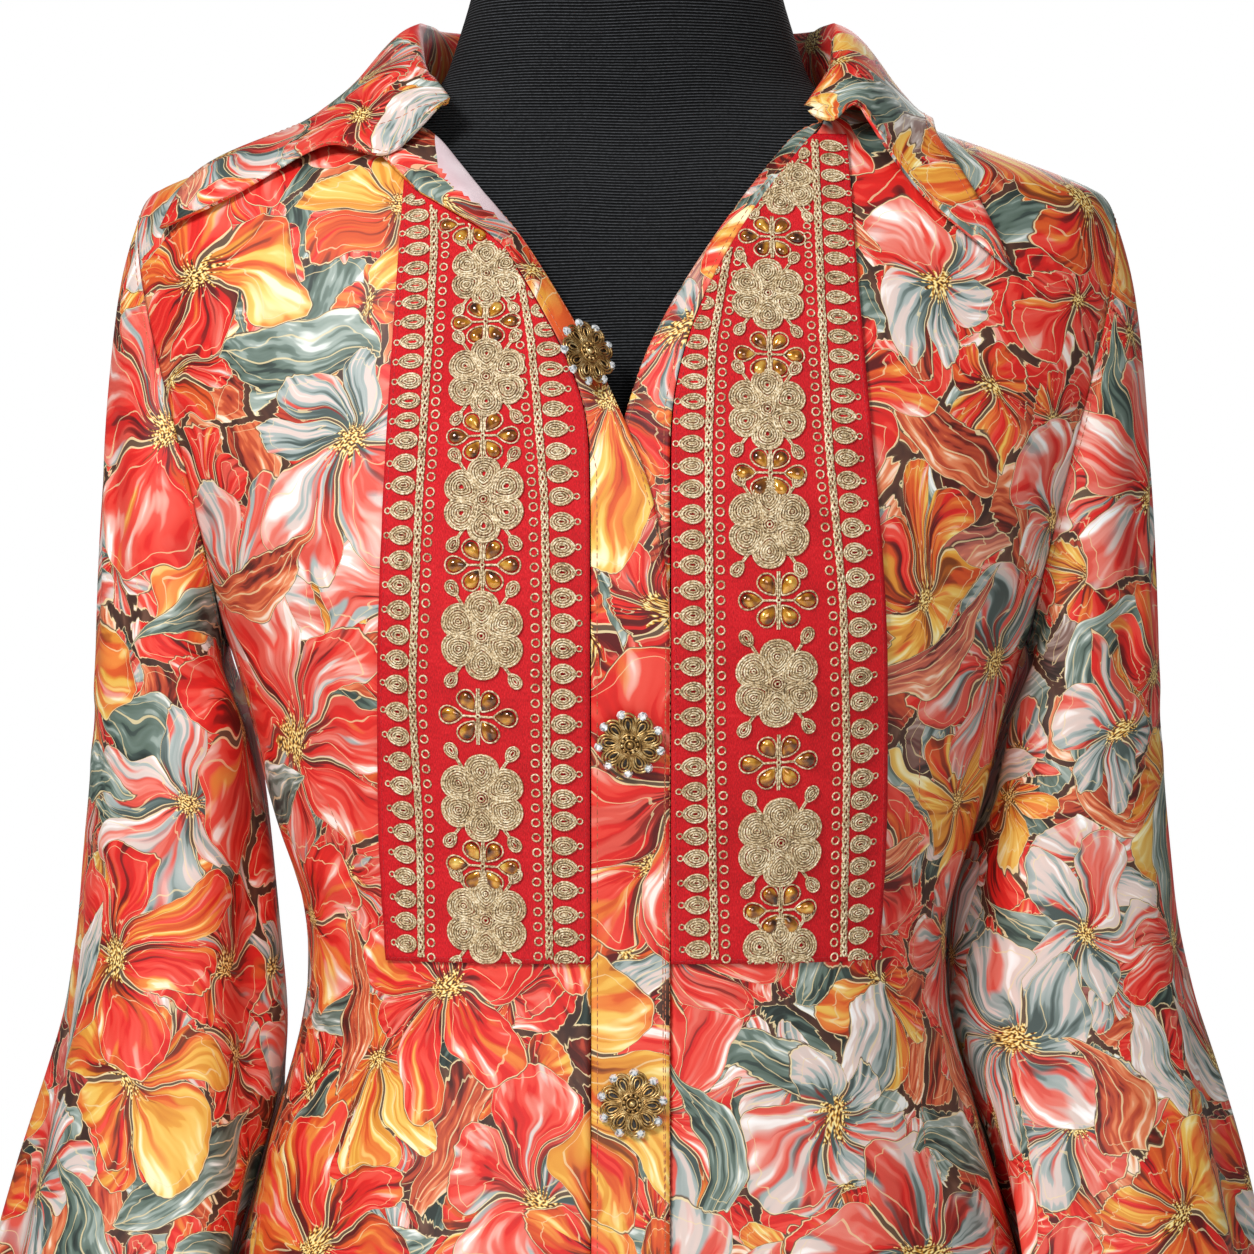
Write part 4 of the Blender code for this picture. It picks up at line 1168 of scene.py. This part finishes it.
# %% [markdown]
# A border runs down both edges of the ribbon: a plaited chain, a row of small rings towards the flowers,
# and a row of round drops on the other side, each with a loop at its tip. Their spacing is a little
# uneven, as hand work is. The uneven numbers come from a seeded generator, so that they never change.

# %% The borders
hand = np.random.default_rng(41)
PLAIT_SWING = 1.35
PLAIT_LENGTH = 14.0
PLAIT_STEP = 1.5
DISC_OFFSET = 12.2
# Height above the waist, and how far apart the round drops or the small rings are there
DISC_PITCH = ((0, 8.8), (60, 9.4), (100, 10.2), (180, 9.2), (225, 7.8), (300, 7.4))
RING_PITCH = ((0, 5.2), (100, 5.6), (180, 5.0), (300, 4.3))


def border_path(ground, line):
    """Places along a border's line, a millimetre apart, each with its direction."""
    line = np.array(line, float)
    rises = np.arange(line[:, 1].max(), line[:, 1].min(), -1.0)
    order = np.argsort(line[:, 1])
    across = np.interp(rises, line[order, 1], line[order, 0])
    soft = np.convolve(np.pad(across, 6, mode="edge"), np.ones(13) / 13, mode="valid")
    return [(rise, ground.spot(x, rise)) for x, rise in zip(soft, rises)]


def border(ground, line, outward):
    path = border_path(ground, line)
    walked, last = 0.0, None
    strands = [[], [], [], []]
    next_disc, next_ring, next_point = 3.0, 2.0, 0.0
    for rise, spot in path:
        if spot is None:
            last = None
            for strand in strands:
                strand.append(None)
            continue
        walked += (spot.middle - last).length / MM if last else 1.0
        last = spot.middle
        if walked >= next_point:
            next_point = walked + PLAIT_STEP
            for k, strand in enumerate(strands):
                phase = math.tau * (walked / PLAIT_LENGTH + k / 4)
                swing = PLAIT_SWING * math.sin(phase) + hand.normal(0, 0.08)
                lift = 0.5 + 0.35 * math.cos(2 * phase)
                strand.append(ground.dropped(spot, swing, 0.0, lift))
        sideways = spot.turned(-math.pi / 2 * outward)
        if walked >= next_disc:
            pitch = float(np.interp(rise, *np.array(DISC_PITCH, float).T))
            next_disc = walked + pitch + hand.normal(0, 0.15)
            size = min(pitch * 0.86, 8.2) + hand.normal(0, 0.12)
            far = spot.turned(-math.pi / 2 * outward + math.pi)
            base = Spot(sideways.at(0, DISC_OFFSET), far.across, far.along, far.out)
            filled_drop(ground, base, 0.0, 10.4, size, 0.25, 0.4, 0.45, 1.2)
            ground.lay(sideways, ring(1.15, 9, 0.0, 13.0), 0.34, closed=True, finish=1)
        if walked >= next_ring:
            pitch = float(np.interp(rise, *np.array(RING_PITCH, float).T))
            next_ring = walked + pitch + hand.normal(0, 0.1)
            drawing = ring(min(1.6, pitch * 0.33), 11, 0.0, -4.5 + hand.normal(0, 0.1))
            ground.lay(sideways, drawing, 0.38, closed=True, finish=1)
    for k, strand in enumerate(strands):
        ground.add(strand, 0.5, finish=k % 2)


# %% [markdown]
# Both ribbons are worked from short lists. Places are in millimetres across from the middle of the body and
# up from the waist. The threads are drawn as thick curves, because such a curve turns into a tube of even
# thickness by itself, and all the threads of a ribbon become one mesh.

# %% Working both ribbons
RIGHT_OUTER_LINE = (
    (-79, 312), (-77.6, 284), (-79.9, 232), (-82.7, 180), (-85.9, 100), (-83.4, 50), (-83.1, -6),
)
RIGHT_INNER_LINE = ((-44, 275), (-38.7, 247), (-36, 220), (-32.7, 180), (-31.9, 140), (-32, 70), (-31.1, -6))
LEFT_OUTER_LINE = ((76.5, 328), (77.9, 262), (80.3, 202), (85.9, 140), (88.2, 75), (87.6, -6))
LEFT_INNER_LINE = ((43.5, 296), (38.3, 267), (34, 242), (32.3, 202), (33, 89), (35.3, -6))
# Across, up and radius of each flower of thread; across, up and scale of each flower of glass
RIGHT_FLOWERS = (
    (-56.5, 11.5, 18.0), (-58, 61, 18.4), (-57.6, 126, 18.0), (-56.8, 180, 17.4), (-56, 229, 16.6),
    (-56.4, 271, 15.2),
)
LEFT_FLOWERS = (
    (61.7, -4.2, 17.0), (61.5, 43, 18.8), (59.6, 107, 18.2), (56.4, 170, 17.6), (55.8, 216, 16.8),
    (56.4, 263, 15.8), (62.0, 309, 15.0),
)
RIGHT_STONES = (
    (-57.7, 33.5, 1.0), (-59.3, 93.8, 1.05), (-57.3, 154, 1.0), (-57.3, 205.4, 0.95), (-56.5, 251.5, 0.9),
    (-63, 292, 0.85),
)
LEFT_STONES = (
    (61.7, 15.5, 1.0), (60.5, 75.4, 1.05), (60.1, 140, 1.05), (56.9, 190.6, 0.95), (56.9, 238.2, 0.92),
    (58.5, 286.5, 0.88),
)


def worked_ribbon(name, panel, flowers, stones, outer_line, inner_line, side, solids):
    ground = Ground(panel, under_band=side < 0)
    for x, rise, radius in flowers:
        couched_flower(ground, x, rise, radius)
    for x, rise, scale in stones:
        stone_flower(ground, x, rise, scale)
    border(ground, outer_line, side)
    border(ground, inner_line, -side)
    work = thread_piece(f"{name}_threadwork", ground.threads, (FILLING, OUTLINE, GAP_SHADE_THREAD))
    dressed(work, "gold_thread", *solids)
    return ground


def thread_piece(name, threads, finishes, roundness=0):
    """All the threads as one mesh of thin tubes."""
    curve = bpy.data.curves.new(name, "CURVE")
    curve.dimensions = "3D"
    curve.bevel_depth = MM
    curve.bevel_resolution = roundness
    curve.use_fill_caps = True
    for points, radius, closed, finish in threads:
        spline = curve.splines.new("POLY")
        spline.points.add(len(points) - 1)
        coordinates = np.ones((len(points), 4))
        coordinates[:, :3] = points
        spline.points.foreach_set("co", coordinates.ravel())
        spline.points.foreach_set("radius", [radius] * len(points))
        spline.use_cyclic_u = closed
        spline.material_index = finish
        spline.use_smooth = True
    for finish in finishes:
        curve.materials.append(finish)
    guide = bpy.data.objects.new(f"{name}_guide", curve)
    bpy.context.scene.collection.objects.link(guide)
    data = bpy.data.meshes.new_from_object(guide)
    bpy.data.objects.remove(guide)
    bpy.data.curves.remove(curve)
    print(name, len(threads), "threads,", len(data.polygons) * 2, "triangles")
    return shown(name, data)


right_ground = worked_ribbon(
    "right", right_panel, RIGHT_FLOWERS, RIGHT_STONES, RIGHT_OUTER_LINE, RIGHT_INNER_LINE, -1,
    [f"right_flower_{k}" for k in range(1, 7)],
)
left_ground = worked_ribbon(
    "left", left_panel, LEFT_FLOWERS, LEFT_STONES, LEFT_OUTER_LINE, LEFT_INNER_LINE, 1,
    [f"left_flower_{k}" for k in range(1, 6)],
)

# %% [markdown]
# The drops are amber glass with a foil behind. Light comes back from the foil, so a real one looks lit from
# inside at one end and dark at the other. A clear glass shader would need the foil behind it as well.
# Instead that light is painted: a deep amber colour that changes across the stone under a clear coat reads
# the same.

# %% Amber stones
def amber_glass():
    recipe = Recipe("amber_glass")
    place = recipe.place()
    # Painted light: the amber tone changes at random from dark to pale across the drops, in place of the
    # light the foil sends back
    depth = recipe.noise(place, 210.0, 1.0)
    colour = recipe.ramp(depth, ((0.3, "3a1903"), (0.45, "8c4f09"), (0.58, "cf8a17"), (0.78, "f8d26c")))
    return recipe.finish(
        Base_Color=colour, Metallic=0.35, Roughness=0.12, Coat_Weight=1.0, Coat_Roughness=0.03
    )


AMBER = amber_glass()
for side, ground in (("right", right_ground), ("left", left_ground)):
    mesh = stone_meshes[ground]
    bmesh.ops.recalc_face_normals(mesh, faces=mesh.faces)
    stones = shown(f"{side}_glass_drops", meshed(f"{side}_glass_drops", mesh), AMBER)
    stones.data.shade_smooth()
    dressed(stones, "gold_thread")
    print(side, "drops:", len(stones.data.polygons), "faces")

# %% [markdown]
# The buttons are cast in the manner of wire filigree: looped petals round a beaded middle, with clear
# stones set at the rim. Each is built flat at the origin, from rings, loops, balls and cut stones, and then
# carried to its place. The place is read from the solid it stands for: its middle, and the way it faces.

# %% Button finishes
def antique_gold():
    recipe = Recipe("antique_gold")
    place = recipe.place()
    tarnish = recipe.noise(place, 420.0, 3.0, 0.6)
    colour = recipe.ramp(tarnish, ((0.25, "4c3216"), (0.5, "ad8850"), (0.75, "f2dba4")))
    return recipe.finish(
        Base_Color=colour, Metallic=0.8, Roughness=0.34, Normal=recipe.bump(tarnish, 0.1 * MM, 0.4)
    )


def cut_crystal():
    recipe = Recipe("cut_crystal")
    place = recipe.place()
    # Painted reflection: grey to white flecks stand in for light flashing off the facets
    painted_glints = recipe.noise(place, 900.0, 1.0)
    colour = recipe.ramp(painted_glints, ((0.35, "7f888e"), (0.5, "e8edf0"), (0.6, "ffffff")))
    return recipe.finish(
        Base_Color=colour, Metallic=0.35, Roughness=0.06, Coat_Weight=1.0, Coat_Roughness=0.02
    )


ANTIQUE_GOLD = antique_gold()
CRYSTAL = cut_crystal()
# Painted shade: a nearly black finish for the plate's top, seen in the gaps between the wires
WIRE_GAP_SHADE = gold_thread("button_gap_shade", "080402", "1a0f07", "3a2410")

# %% A filigree button
# Sizes in millimetres from the middle of the plate
PLATE_RADIUS = 10.6
BUTTON_PETALS = 9
# Length, width, start, thickness and height of the wires of one petal
PETAL_WIRES = ((9.0, 6.6, 3.8, 0.56, 2.3), (7.0, 4.5, 4.5, 0.46, 2.45), (4.8, 2.2, 5.4, 0.42, 2.5))
BEADS = 10
BEAD_REACH = 3.2
BEAD_RADIUS = 0.85
BEAD_HEIGHT = 2.9
MIDDLE_BALL_RADIUS = 1.7
MIDDLE_BALL_HEIGHT = 2.6
STONES_ON_RIM = 9
RIM_STONE_REACH = 12.3
RIM_STONE_RADIUS = 2.1
RIM_STONE_HEIGHT = 1.8
SEAT_DEPTH = 1.4
# Reach, height and thickness of the wire rings at the middle
MIDDLE_RINGS = ((4.2, 2.6, 0.5), (2.2, 3.4, 0.4))


def wire_loops():
    """The button's wires, drawn flat: looped petals, and rings at the middle."""
    wires = []
    for petal in range(BUTTON_PETALS):
        angle = petal * math.tau / BUTTON_PETALS
        turn = np.array(((math.cos(angle), math.sin(angle)), (-math.sin(angle), math.cos(angle))))
        for length, width, start, radius, height in PETAL_WIRES:
            flat = teardrop(length, width, 0.6, 18, start) @ turn
            lift = height - 0.12 * np.linalg.norm(flat, axis=1) / 2
            wires.append((np.column_stack([flat, lift]), radius))
    for reach, height, radius in MIDDLE_RINGS:
        flat = ring(reach, 40)
        wires.append((np.column_stack([flat, np.full(len(flat), height)]), radius))
    return wires


def ball(mesh, x, y, z, radius, finish):
    made = bmesh.ops.create_icosphere(
        mesh, subdivisions=2, radius=radius * MM, matrix=Matrix.Translation((x * MM, y * MM, z * MM))
    )
    for face in {f for v in made["verts"] for f in v.link_faces}:
        face.material_index = finish
        face.smooth = True


def cut_stone(mesh, x, y, z, radius, finish):
    """A stone with a flat table and eight slanting facets."""
    made = bmesh.ops.create_cone(
        mesh, cap_ends=True, segments=8, radius1=radius * MM, radius2=radius * 0.56 * MM,
        depth=radius * 0.6 * MM, matrix=Matrix.Translation((x * MM, y * MM, z * MM)),
    )
    for face in {f for v in made["verts"] for f in v.link_faces}:
        face.material_index = finish


def plate(mesh):
    """The back plate: a shallow dome that closes the gaps between the wires; its top is nearly black,
    painted shade seen between them.
    """
    made = bmesh.ops.create_circle(mesh, cap_ends=True, segments=48, radius=PLATE_RADIUS * MM)
    face = made["verts"][0].link_faces[0]
    # The plate's top takes the nearly black finish: painted shade between the wires
    face.material_index = 2
    for inset, rise in ((1.2, 0.5), (3.6, 0.4), (3.6, 0.2)):
        bmesh.ops.inset_region(mesh, faces=[face], thickness=inset * MM, depth=0.0)
        bmesh.ops.translate(mesh, verts=face.verts, vec=(0, 0, rise * MM))
    low = bmesh.ops.create_circle(mesh, cap_ends=True, segments=48, radius=PLATE_RADIUS * MM)
    bmesh.ops.reverse_faces(mesh, faces=low["verts"][0].link_faces[:])
    bmesh.ops.remove_doubles(mesh, verts=mesh.verts, dist=0.01 * MM)


def facing(name):
    """Where a button's solid lies and the way it faces."""
    data = nodes[name].data
    points = np.array([vertex.co for vertex in data.vertices])
    middle = (points.max(axis=0) + points.min(axis=0)) / 2
    for _ in range(3):
        far = np.linalg.norm(points - middle, axis=1)
        rim = points[far > 0.82 * far.max()]
        middle = rim.mean(axis=0)
    _, _, axes = np.linalg.svd(rim - middle)
    out = Vector(axes[2])
    if out.y > 0:
        out = -out
    across = Vector((1, 0, 0)) - out * out.x
    across.normalize()
    return Spot(Vector(middle), across, out.cross(across), out)


def filigree_button(name, turn):
    mesh = bmesh.new()
    plate(mesh)
    for x, y in ring(BEAD_REACH, BEADS):
        ball(mesh, x, y, BEAD_HEIGHT, BEAD_RADIUS, 0)
    ball(mesh, 0, 0, MIDDLE_BALL_HEIGHT, MIDDLE_BALL_RADIUS, 0)
    for k in range(STONES_ON_RIM):
        angle = math.tau * (k + 0.5) / STONES_ON_RIM
        x, y = RIM_STONE_REACH * math.cos(angle), RIM_STONE_REACH * math.sin(angle)
        cut_stone(mesh, x, y, RIM_STONE_HEIGHT, RIM_STONE_RADIUS, 1)
    spot = facing(name).turned(turn)
    place = Matrix((spot.across, spot.along, spot.out)).transposed().to_4x4()
    place.translation = spot.middle - spot.out * (SEAT_DEPTH * MM)
    bmesh.ops.transform(mesh, matrix=place, verts=mesh.verts)
    base = shown(f"{name}_plate", meshed(f"{name}_plate", mesh), ANTIQUE_GOLD, CRYSTAL, WIRE_GAP_SHADE)
    dressed(base, "button_metal", name)
    threads = [([place @ Vector(p) for p in wire * MM], radius, True, 0) for wire, radius in wire_loops()]
    wires = thread_piece(f"{name}_filigree", threads, (ANTIQUE_GOLD,), roundness=1)
    dressed(wires, "button_metal")


for number, turn in ((1, 0.2), (2, 0.1), (3, 0.45), (4, 0.3)):
    filigree_button(f"button_{number}", turn)

# %% [markdown]
# Topstitching is what tells the eye how large a shirt is. Each row runs a few millimetres inside an edge.
# The edge is read from the solid, in order, moved inwards, and dropped on the finished cloth. Every stitch
# is one short bowed thread, so its ends sink into the cloth and its middle stands a hair proud of it.

# %% Rows of stitches
STITCH = 2.4
STITCH_GAP = 0.9
STITCH_THREAD = 0.17
# How far along a stitch each of its points lies, and how far off the cloth
STITCH_BOW = ((0.0, -0.1), (0.5, 0.16), (1.0, -0.1))
# A stitch longer than this many times its length would span a gap in the cloth
LONGEST_STITCH = 1.5


def sewing_thread(name, dark, pale):
    recipe = Recipe(name)
    place = recipe.place()
    fleck = recipe.noise(place, 1800.0, 1.0)
    return recipe.finish(Base_Color=recipe.ramp(fleck, ((0.3, dark), (0.7, pale))), Roughness=0.5)


CREAM_THREAD = sewing_thread("cream_thread", "c98a6a", "f7e2c6")
CORAL_THREAD = sewing_thread("coral_thread", "8c3a26", "e08a5e")
RED_THREAD = sewing_thread("red_thread", "8a0812", "d82a34")


def outer_edge(name):
    """The edge of a piece's outer side, in order: its points and the way in from the edge."""
    mesh = cloth_copy(name)
    side = set(sides_of(mesh)[0])
    rim = {e for f in side for e in f.edges if e.seam}
    loops = []
    while rim:
        first = rim.pop()
        start, vertex = first.verts
        points = [start]
        while vertex is not start:
            points.append(vertex)
            following = next((e for e in vertex.link_edges if e in rim), None)
            if following is None:
                break
            rim.remove(following)
            vertex = following.other_vert(vertex)
        ways = []
        for k, point in enumerate(points):
            along = points[(k + 1) % len(points)].co - points[k - 1].co
            faces = [f for f in point.link_faces if f in side]
            out = sum((f.normal for f in faces), Vector()).normalized()
            inner = sum((f.calc_center_median() for f in faces), Vector()) / len(faces)
            way = out.cross(along).normalized()
            ways.append(way if way.dot(inner - point.co) > 0 else -way)
        loops.append(([p.co.copy() for p in points], ways))
    mesh.free()
    return loops


class SewnCloth:
    """A finished piece of cloth that takes rows of stitches."""

    def __init__(self, piece):
        self.surface = surface_of(piece.data)

    def stitches(self, line, threads, finish=0):
        """Sews along a line of points."""
        line = np.array(line, float)
        lengths = np.linalg.norm(np.diff(line, axis=0), axis=1) / MM
        walked = np.concatenate([[0], np.cumsum(lengths)])
        start = 0.6
        while start + STITCH < walked[-1]:
            points = []
            for share, lift in STITCH_BOW:
                at = start + share * STITCH
                place = Vector([np.interp(at, walked, line[:, axis]) for axis in range(3)])
                found, out, _, _ = self.surface.find_nearest(place)
                points.append(found + out * (lift * MM))
            if (points[2] - points[0]).length < LONGEST_STITCH * STITCH * MM:
                threads.append((points, STITCH_THREAD, False, finish))
            start += STITCH + STITCH_GAP


def edge_rows(name, piece, inset, keep, threads, finish=0):
    """Stitches along those parts of a piece's edge that are kept."""
    laid = widened if name == "button_band" else Vector
    cloth = SewnCloth(piece)
    for points, ways in outer_edge(name):
        kept = [keep(point) for point in points]
        rows = [laid(point + way * (inset * MM)) for point, way in zip(points, ways)]
        if all(kept):
            cloth.stitches(rows + rows[:1], threads, finish)
            continue
        gap = kept.index(False)
        rows, kept = rows[gap:] + rows[:gap], kept[gap:] + kept[:gap]
        run = []
        for row, wanted in zip(rows + [None], kept + [False]):
            if wanted:
                run.append(row)
            elif run:
                if len(run) > 1:
                    cloth.stitches(run, threads, finish)
                run = []


# %% [markdown]
# The rows are then sewn where a shirt has them: round the hems, beside the armholes and the bands, along the
# collar's edge, down the front darts and round both ribbons. Each row of the table below names a piece, how
# far inside its edge the stitches run, and which part of the edge they follow.

# %% Sewing the shirt
HEM = WAIST - 0.240
SLEEVE_HEM = WAIST - 0.250
NECK_SEAM = WAIST + 0.3545


def everywhere(point):
    return True


def at_hem(point):
    return point.z < HEM + 0.004


def at_sleeve_hem(point):
    return point.z < SLEEVE_HEM + 0.006


def at_armhole(point):
    return point.z > WAIST + 0.110


def on_collar_edge(point):
    return point.z < NECK_SEAM - 0.003 or abs(point.x) > 0.089


RIGHT_DART = ((-135, 92), (-118, 49), (-111.7, 17), (-111.5, -31), (-113, -79), (-114, -200))
LEFT_DART = ((118.7, 80), (119, 17), (118.9, -47), (122.6, -95), (124, -200))
rows = []
for name, piece, inset, keep in (
    ("right_front", right_front, 12.0, at_hem),
    ("left_front", left_front, 12.0, at_hem),
    ("back", back, 12.0, at_hem),
    ("right_sleeve", right_sleeve, 10.0, at_sleeve_hem),
    ("left_sleeve", left_sleeve, 10.0, at_sleeve_hem),
    ("right_sleeve", right_sleeve, 2.2, at_armhole),
    ("left_sleeve", left_sleeve, 2.2, at_armhole),
    ("button_band", button_band, 2.4, everywhere),
    ("under_band", under_band, 2.4, everywhere),
    ("collar", collar, 3.6, on_collar_edge),
):
    edge_rows(name, piece, inset, keep, rows, finish=1 if name == "collar" else 0)
for dart, piece in ((RIGHT_DART, right_front), (LEFT_DART, left_front)):
    ground = Ground(piece)
    spots = [ground.spot(x, rise) for x, rise in dart]
    SewnCloth(piece).stitches([spot.middle for spot in spots if spot], rows)
dressed(thread_piece("shirt_stitches", rows, (CORAL_THREAD, CREAM_THREAD)), "gold_thread")
ribbon_rows = []
edge_rows("right_embroidered_panel", right_panel, 1.8, everywhere, ribbon_rows)
edge_rows("left_embroidered_panel", left_panel, 1.8, everywhere, ribbon_rows)
dressed(thread_piece("ribbon_stitches", ribbon_rows, (RED_THREAD,)), "gold_thread")

# %% [markdown]
# The form is a smooth body under a fine ribbed jersey, black but never quite black: each rib catches a line
# of light, raised by a bump and also painted into the colour as a paler line along each rib's crest. Its
# stand is steel under a satin black coat. Both are plain, so the eye stays on the shirt.

# %% The form and its stand
RIB = 1.25 * MM


def ribbed_jersey():
    recipe = Recipe("form_jersey")
    place = recipe.place()
    _, _, z = recipe.split(place)
    waver = recipe.noise(place, 14.0, 1.0)
    rib = ((z + waver * 0.006) * (math.tau / RIB)).sum("SINE")
    fibre = recipe.noise(recipe.vector("MULTIPLY", place, (1.0, 1.0, 3.0)), 900.0, 2.0)
    # Painted highlight: the rib's wave lightens the colour along each crest; the fibre noise is the yarn's
    # own fleck
    tone = rib * 0.42 + fibre * 0.6 + 0.15
    colour = recipe.ramp(tone, ((0.25, "010102"), (0.6, "090a0b"), (0.95, "505256")))
    return recipe.finish(
        Base_Color=colour, Roughness=0.85, Sheen_Weight=0.03, Specular_IOR_Level=0.12,
        Normal=recipe.bump(rib + fibre * 0.6, 0.4 * MM, 0.9),
    )


def satin_steel():
    recipe = Recipe("stand_metal")
    place = recipe.place()
    grain = recipe.noise(place, 700.0, 2.0)
    wear = recipe.noise(place, 24.0, 3.0)
    colour = recipe.ramp(wear, ((0.3, "141416"), (0.7, "232327")))
    return recipe.finish(
        Base_Color=colour, Metallic=0.6, Roughness=0.38, Coat_Weight=0.3, Coat_Roughness=0.25,
        Normal=recipe.bump(grain, 0.05 * MM, 0.3),
    )


form = shown("dress_form_smooth", meshed("dress_form_smooth", cloth_copy("dress_form")), ribbed_jersey())
form.data.shade_smooth()
dressed(rounded(form, 2), "form_jersey", "dress_form")
STEEL = satin_steel()
for name in ("base", "pole", "socket"):
    nodes[name].data.materials.clear()
    nodes[name].data.materials.append(STEEL)

# %% [markdown]
# The photograph has a plain white background. A key light from the upper left gives the cloth its shadows, a
# weaker one from the front opens them, and one behind shows the back from other views. The background is
# white to the camera but gives little light itself, or it would wash the colours out. The floor and the
# lights are only the stage.

# %% Floor, light and background
FLOOR_SIZE = 3.6
BACKGROUND = 1.0
SOFT_LIGHT = 0.2


def studio():
    floor_mesh = bmesh.new()
    bmesh.ops.create_grid(floor_mesh, x_segments=2, y_segments=2, size=FLOOR_SIZE / 2)
    pale = Recipe("floor").finish(Base_Color=paint("f2f1ee"), Roughness=0.8)
    shown("floor", meshed("floor", floor_mesh), pale)
    world = bpy.data.worlds.new("studio")
    world.use_nodes = True
    tree = world.node_tree
    background = tree.nodes["Background"]
    background.inputs["Color"].default_value = (1.0, 1.0, 1.0, 1.0)
    path = tree.nodes.new("ShaderNodeLightPath")
    strength = tree.nodes.new("ShaderNodeMapRange")
    strength.inputs["To Min"].default_value = SOFT_LIGHT
    strength.inputs["To Max"].default_value = BACKGROUND
    tree.links.new(path.outputs["Is Camera Ray"], strength.inputs["Value"])
    tree.links.new(strength.outputs["Result"], background.inputs["Strength"])
    bpy.context.scene.world = world
    bpy.context.scene.view_settings.view_transform = "Standard"


def softbox(name, place, target, size, power):
    """A square soft light that faces a point on the shirt."""
    lamp = bpy.data.objects.new(name, bpy.data.lights.new(name, "AREA"))
    lamp.data.shape = "SQUARE"
    lamp.data.size = size
    lamp.data.energy = power
    lamp.location = place
    aim = Vector(place) - Vector(target)
    lamp.rotation_euler = aim.to_track_quat("Z", "Y").to_euler()
    bpy.context.scene.collection.objects.link(lamp)


studio()
CHEST = (0.0, 0.0, VIEW_HEIGHT + 0.05)
softbox("key_light", (-0.9, -1.6, 1.7), CHEST, size=0.55, power=39.0)
softbox("fill_light", (0.6, -2.3, 1.0), CHEST, size=0.9, power=11.0)
softbox("back_light", (0.5, 2.3, 1.7), CHEST, size=0.9, power=16.0)
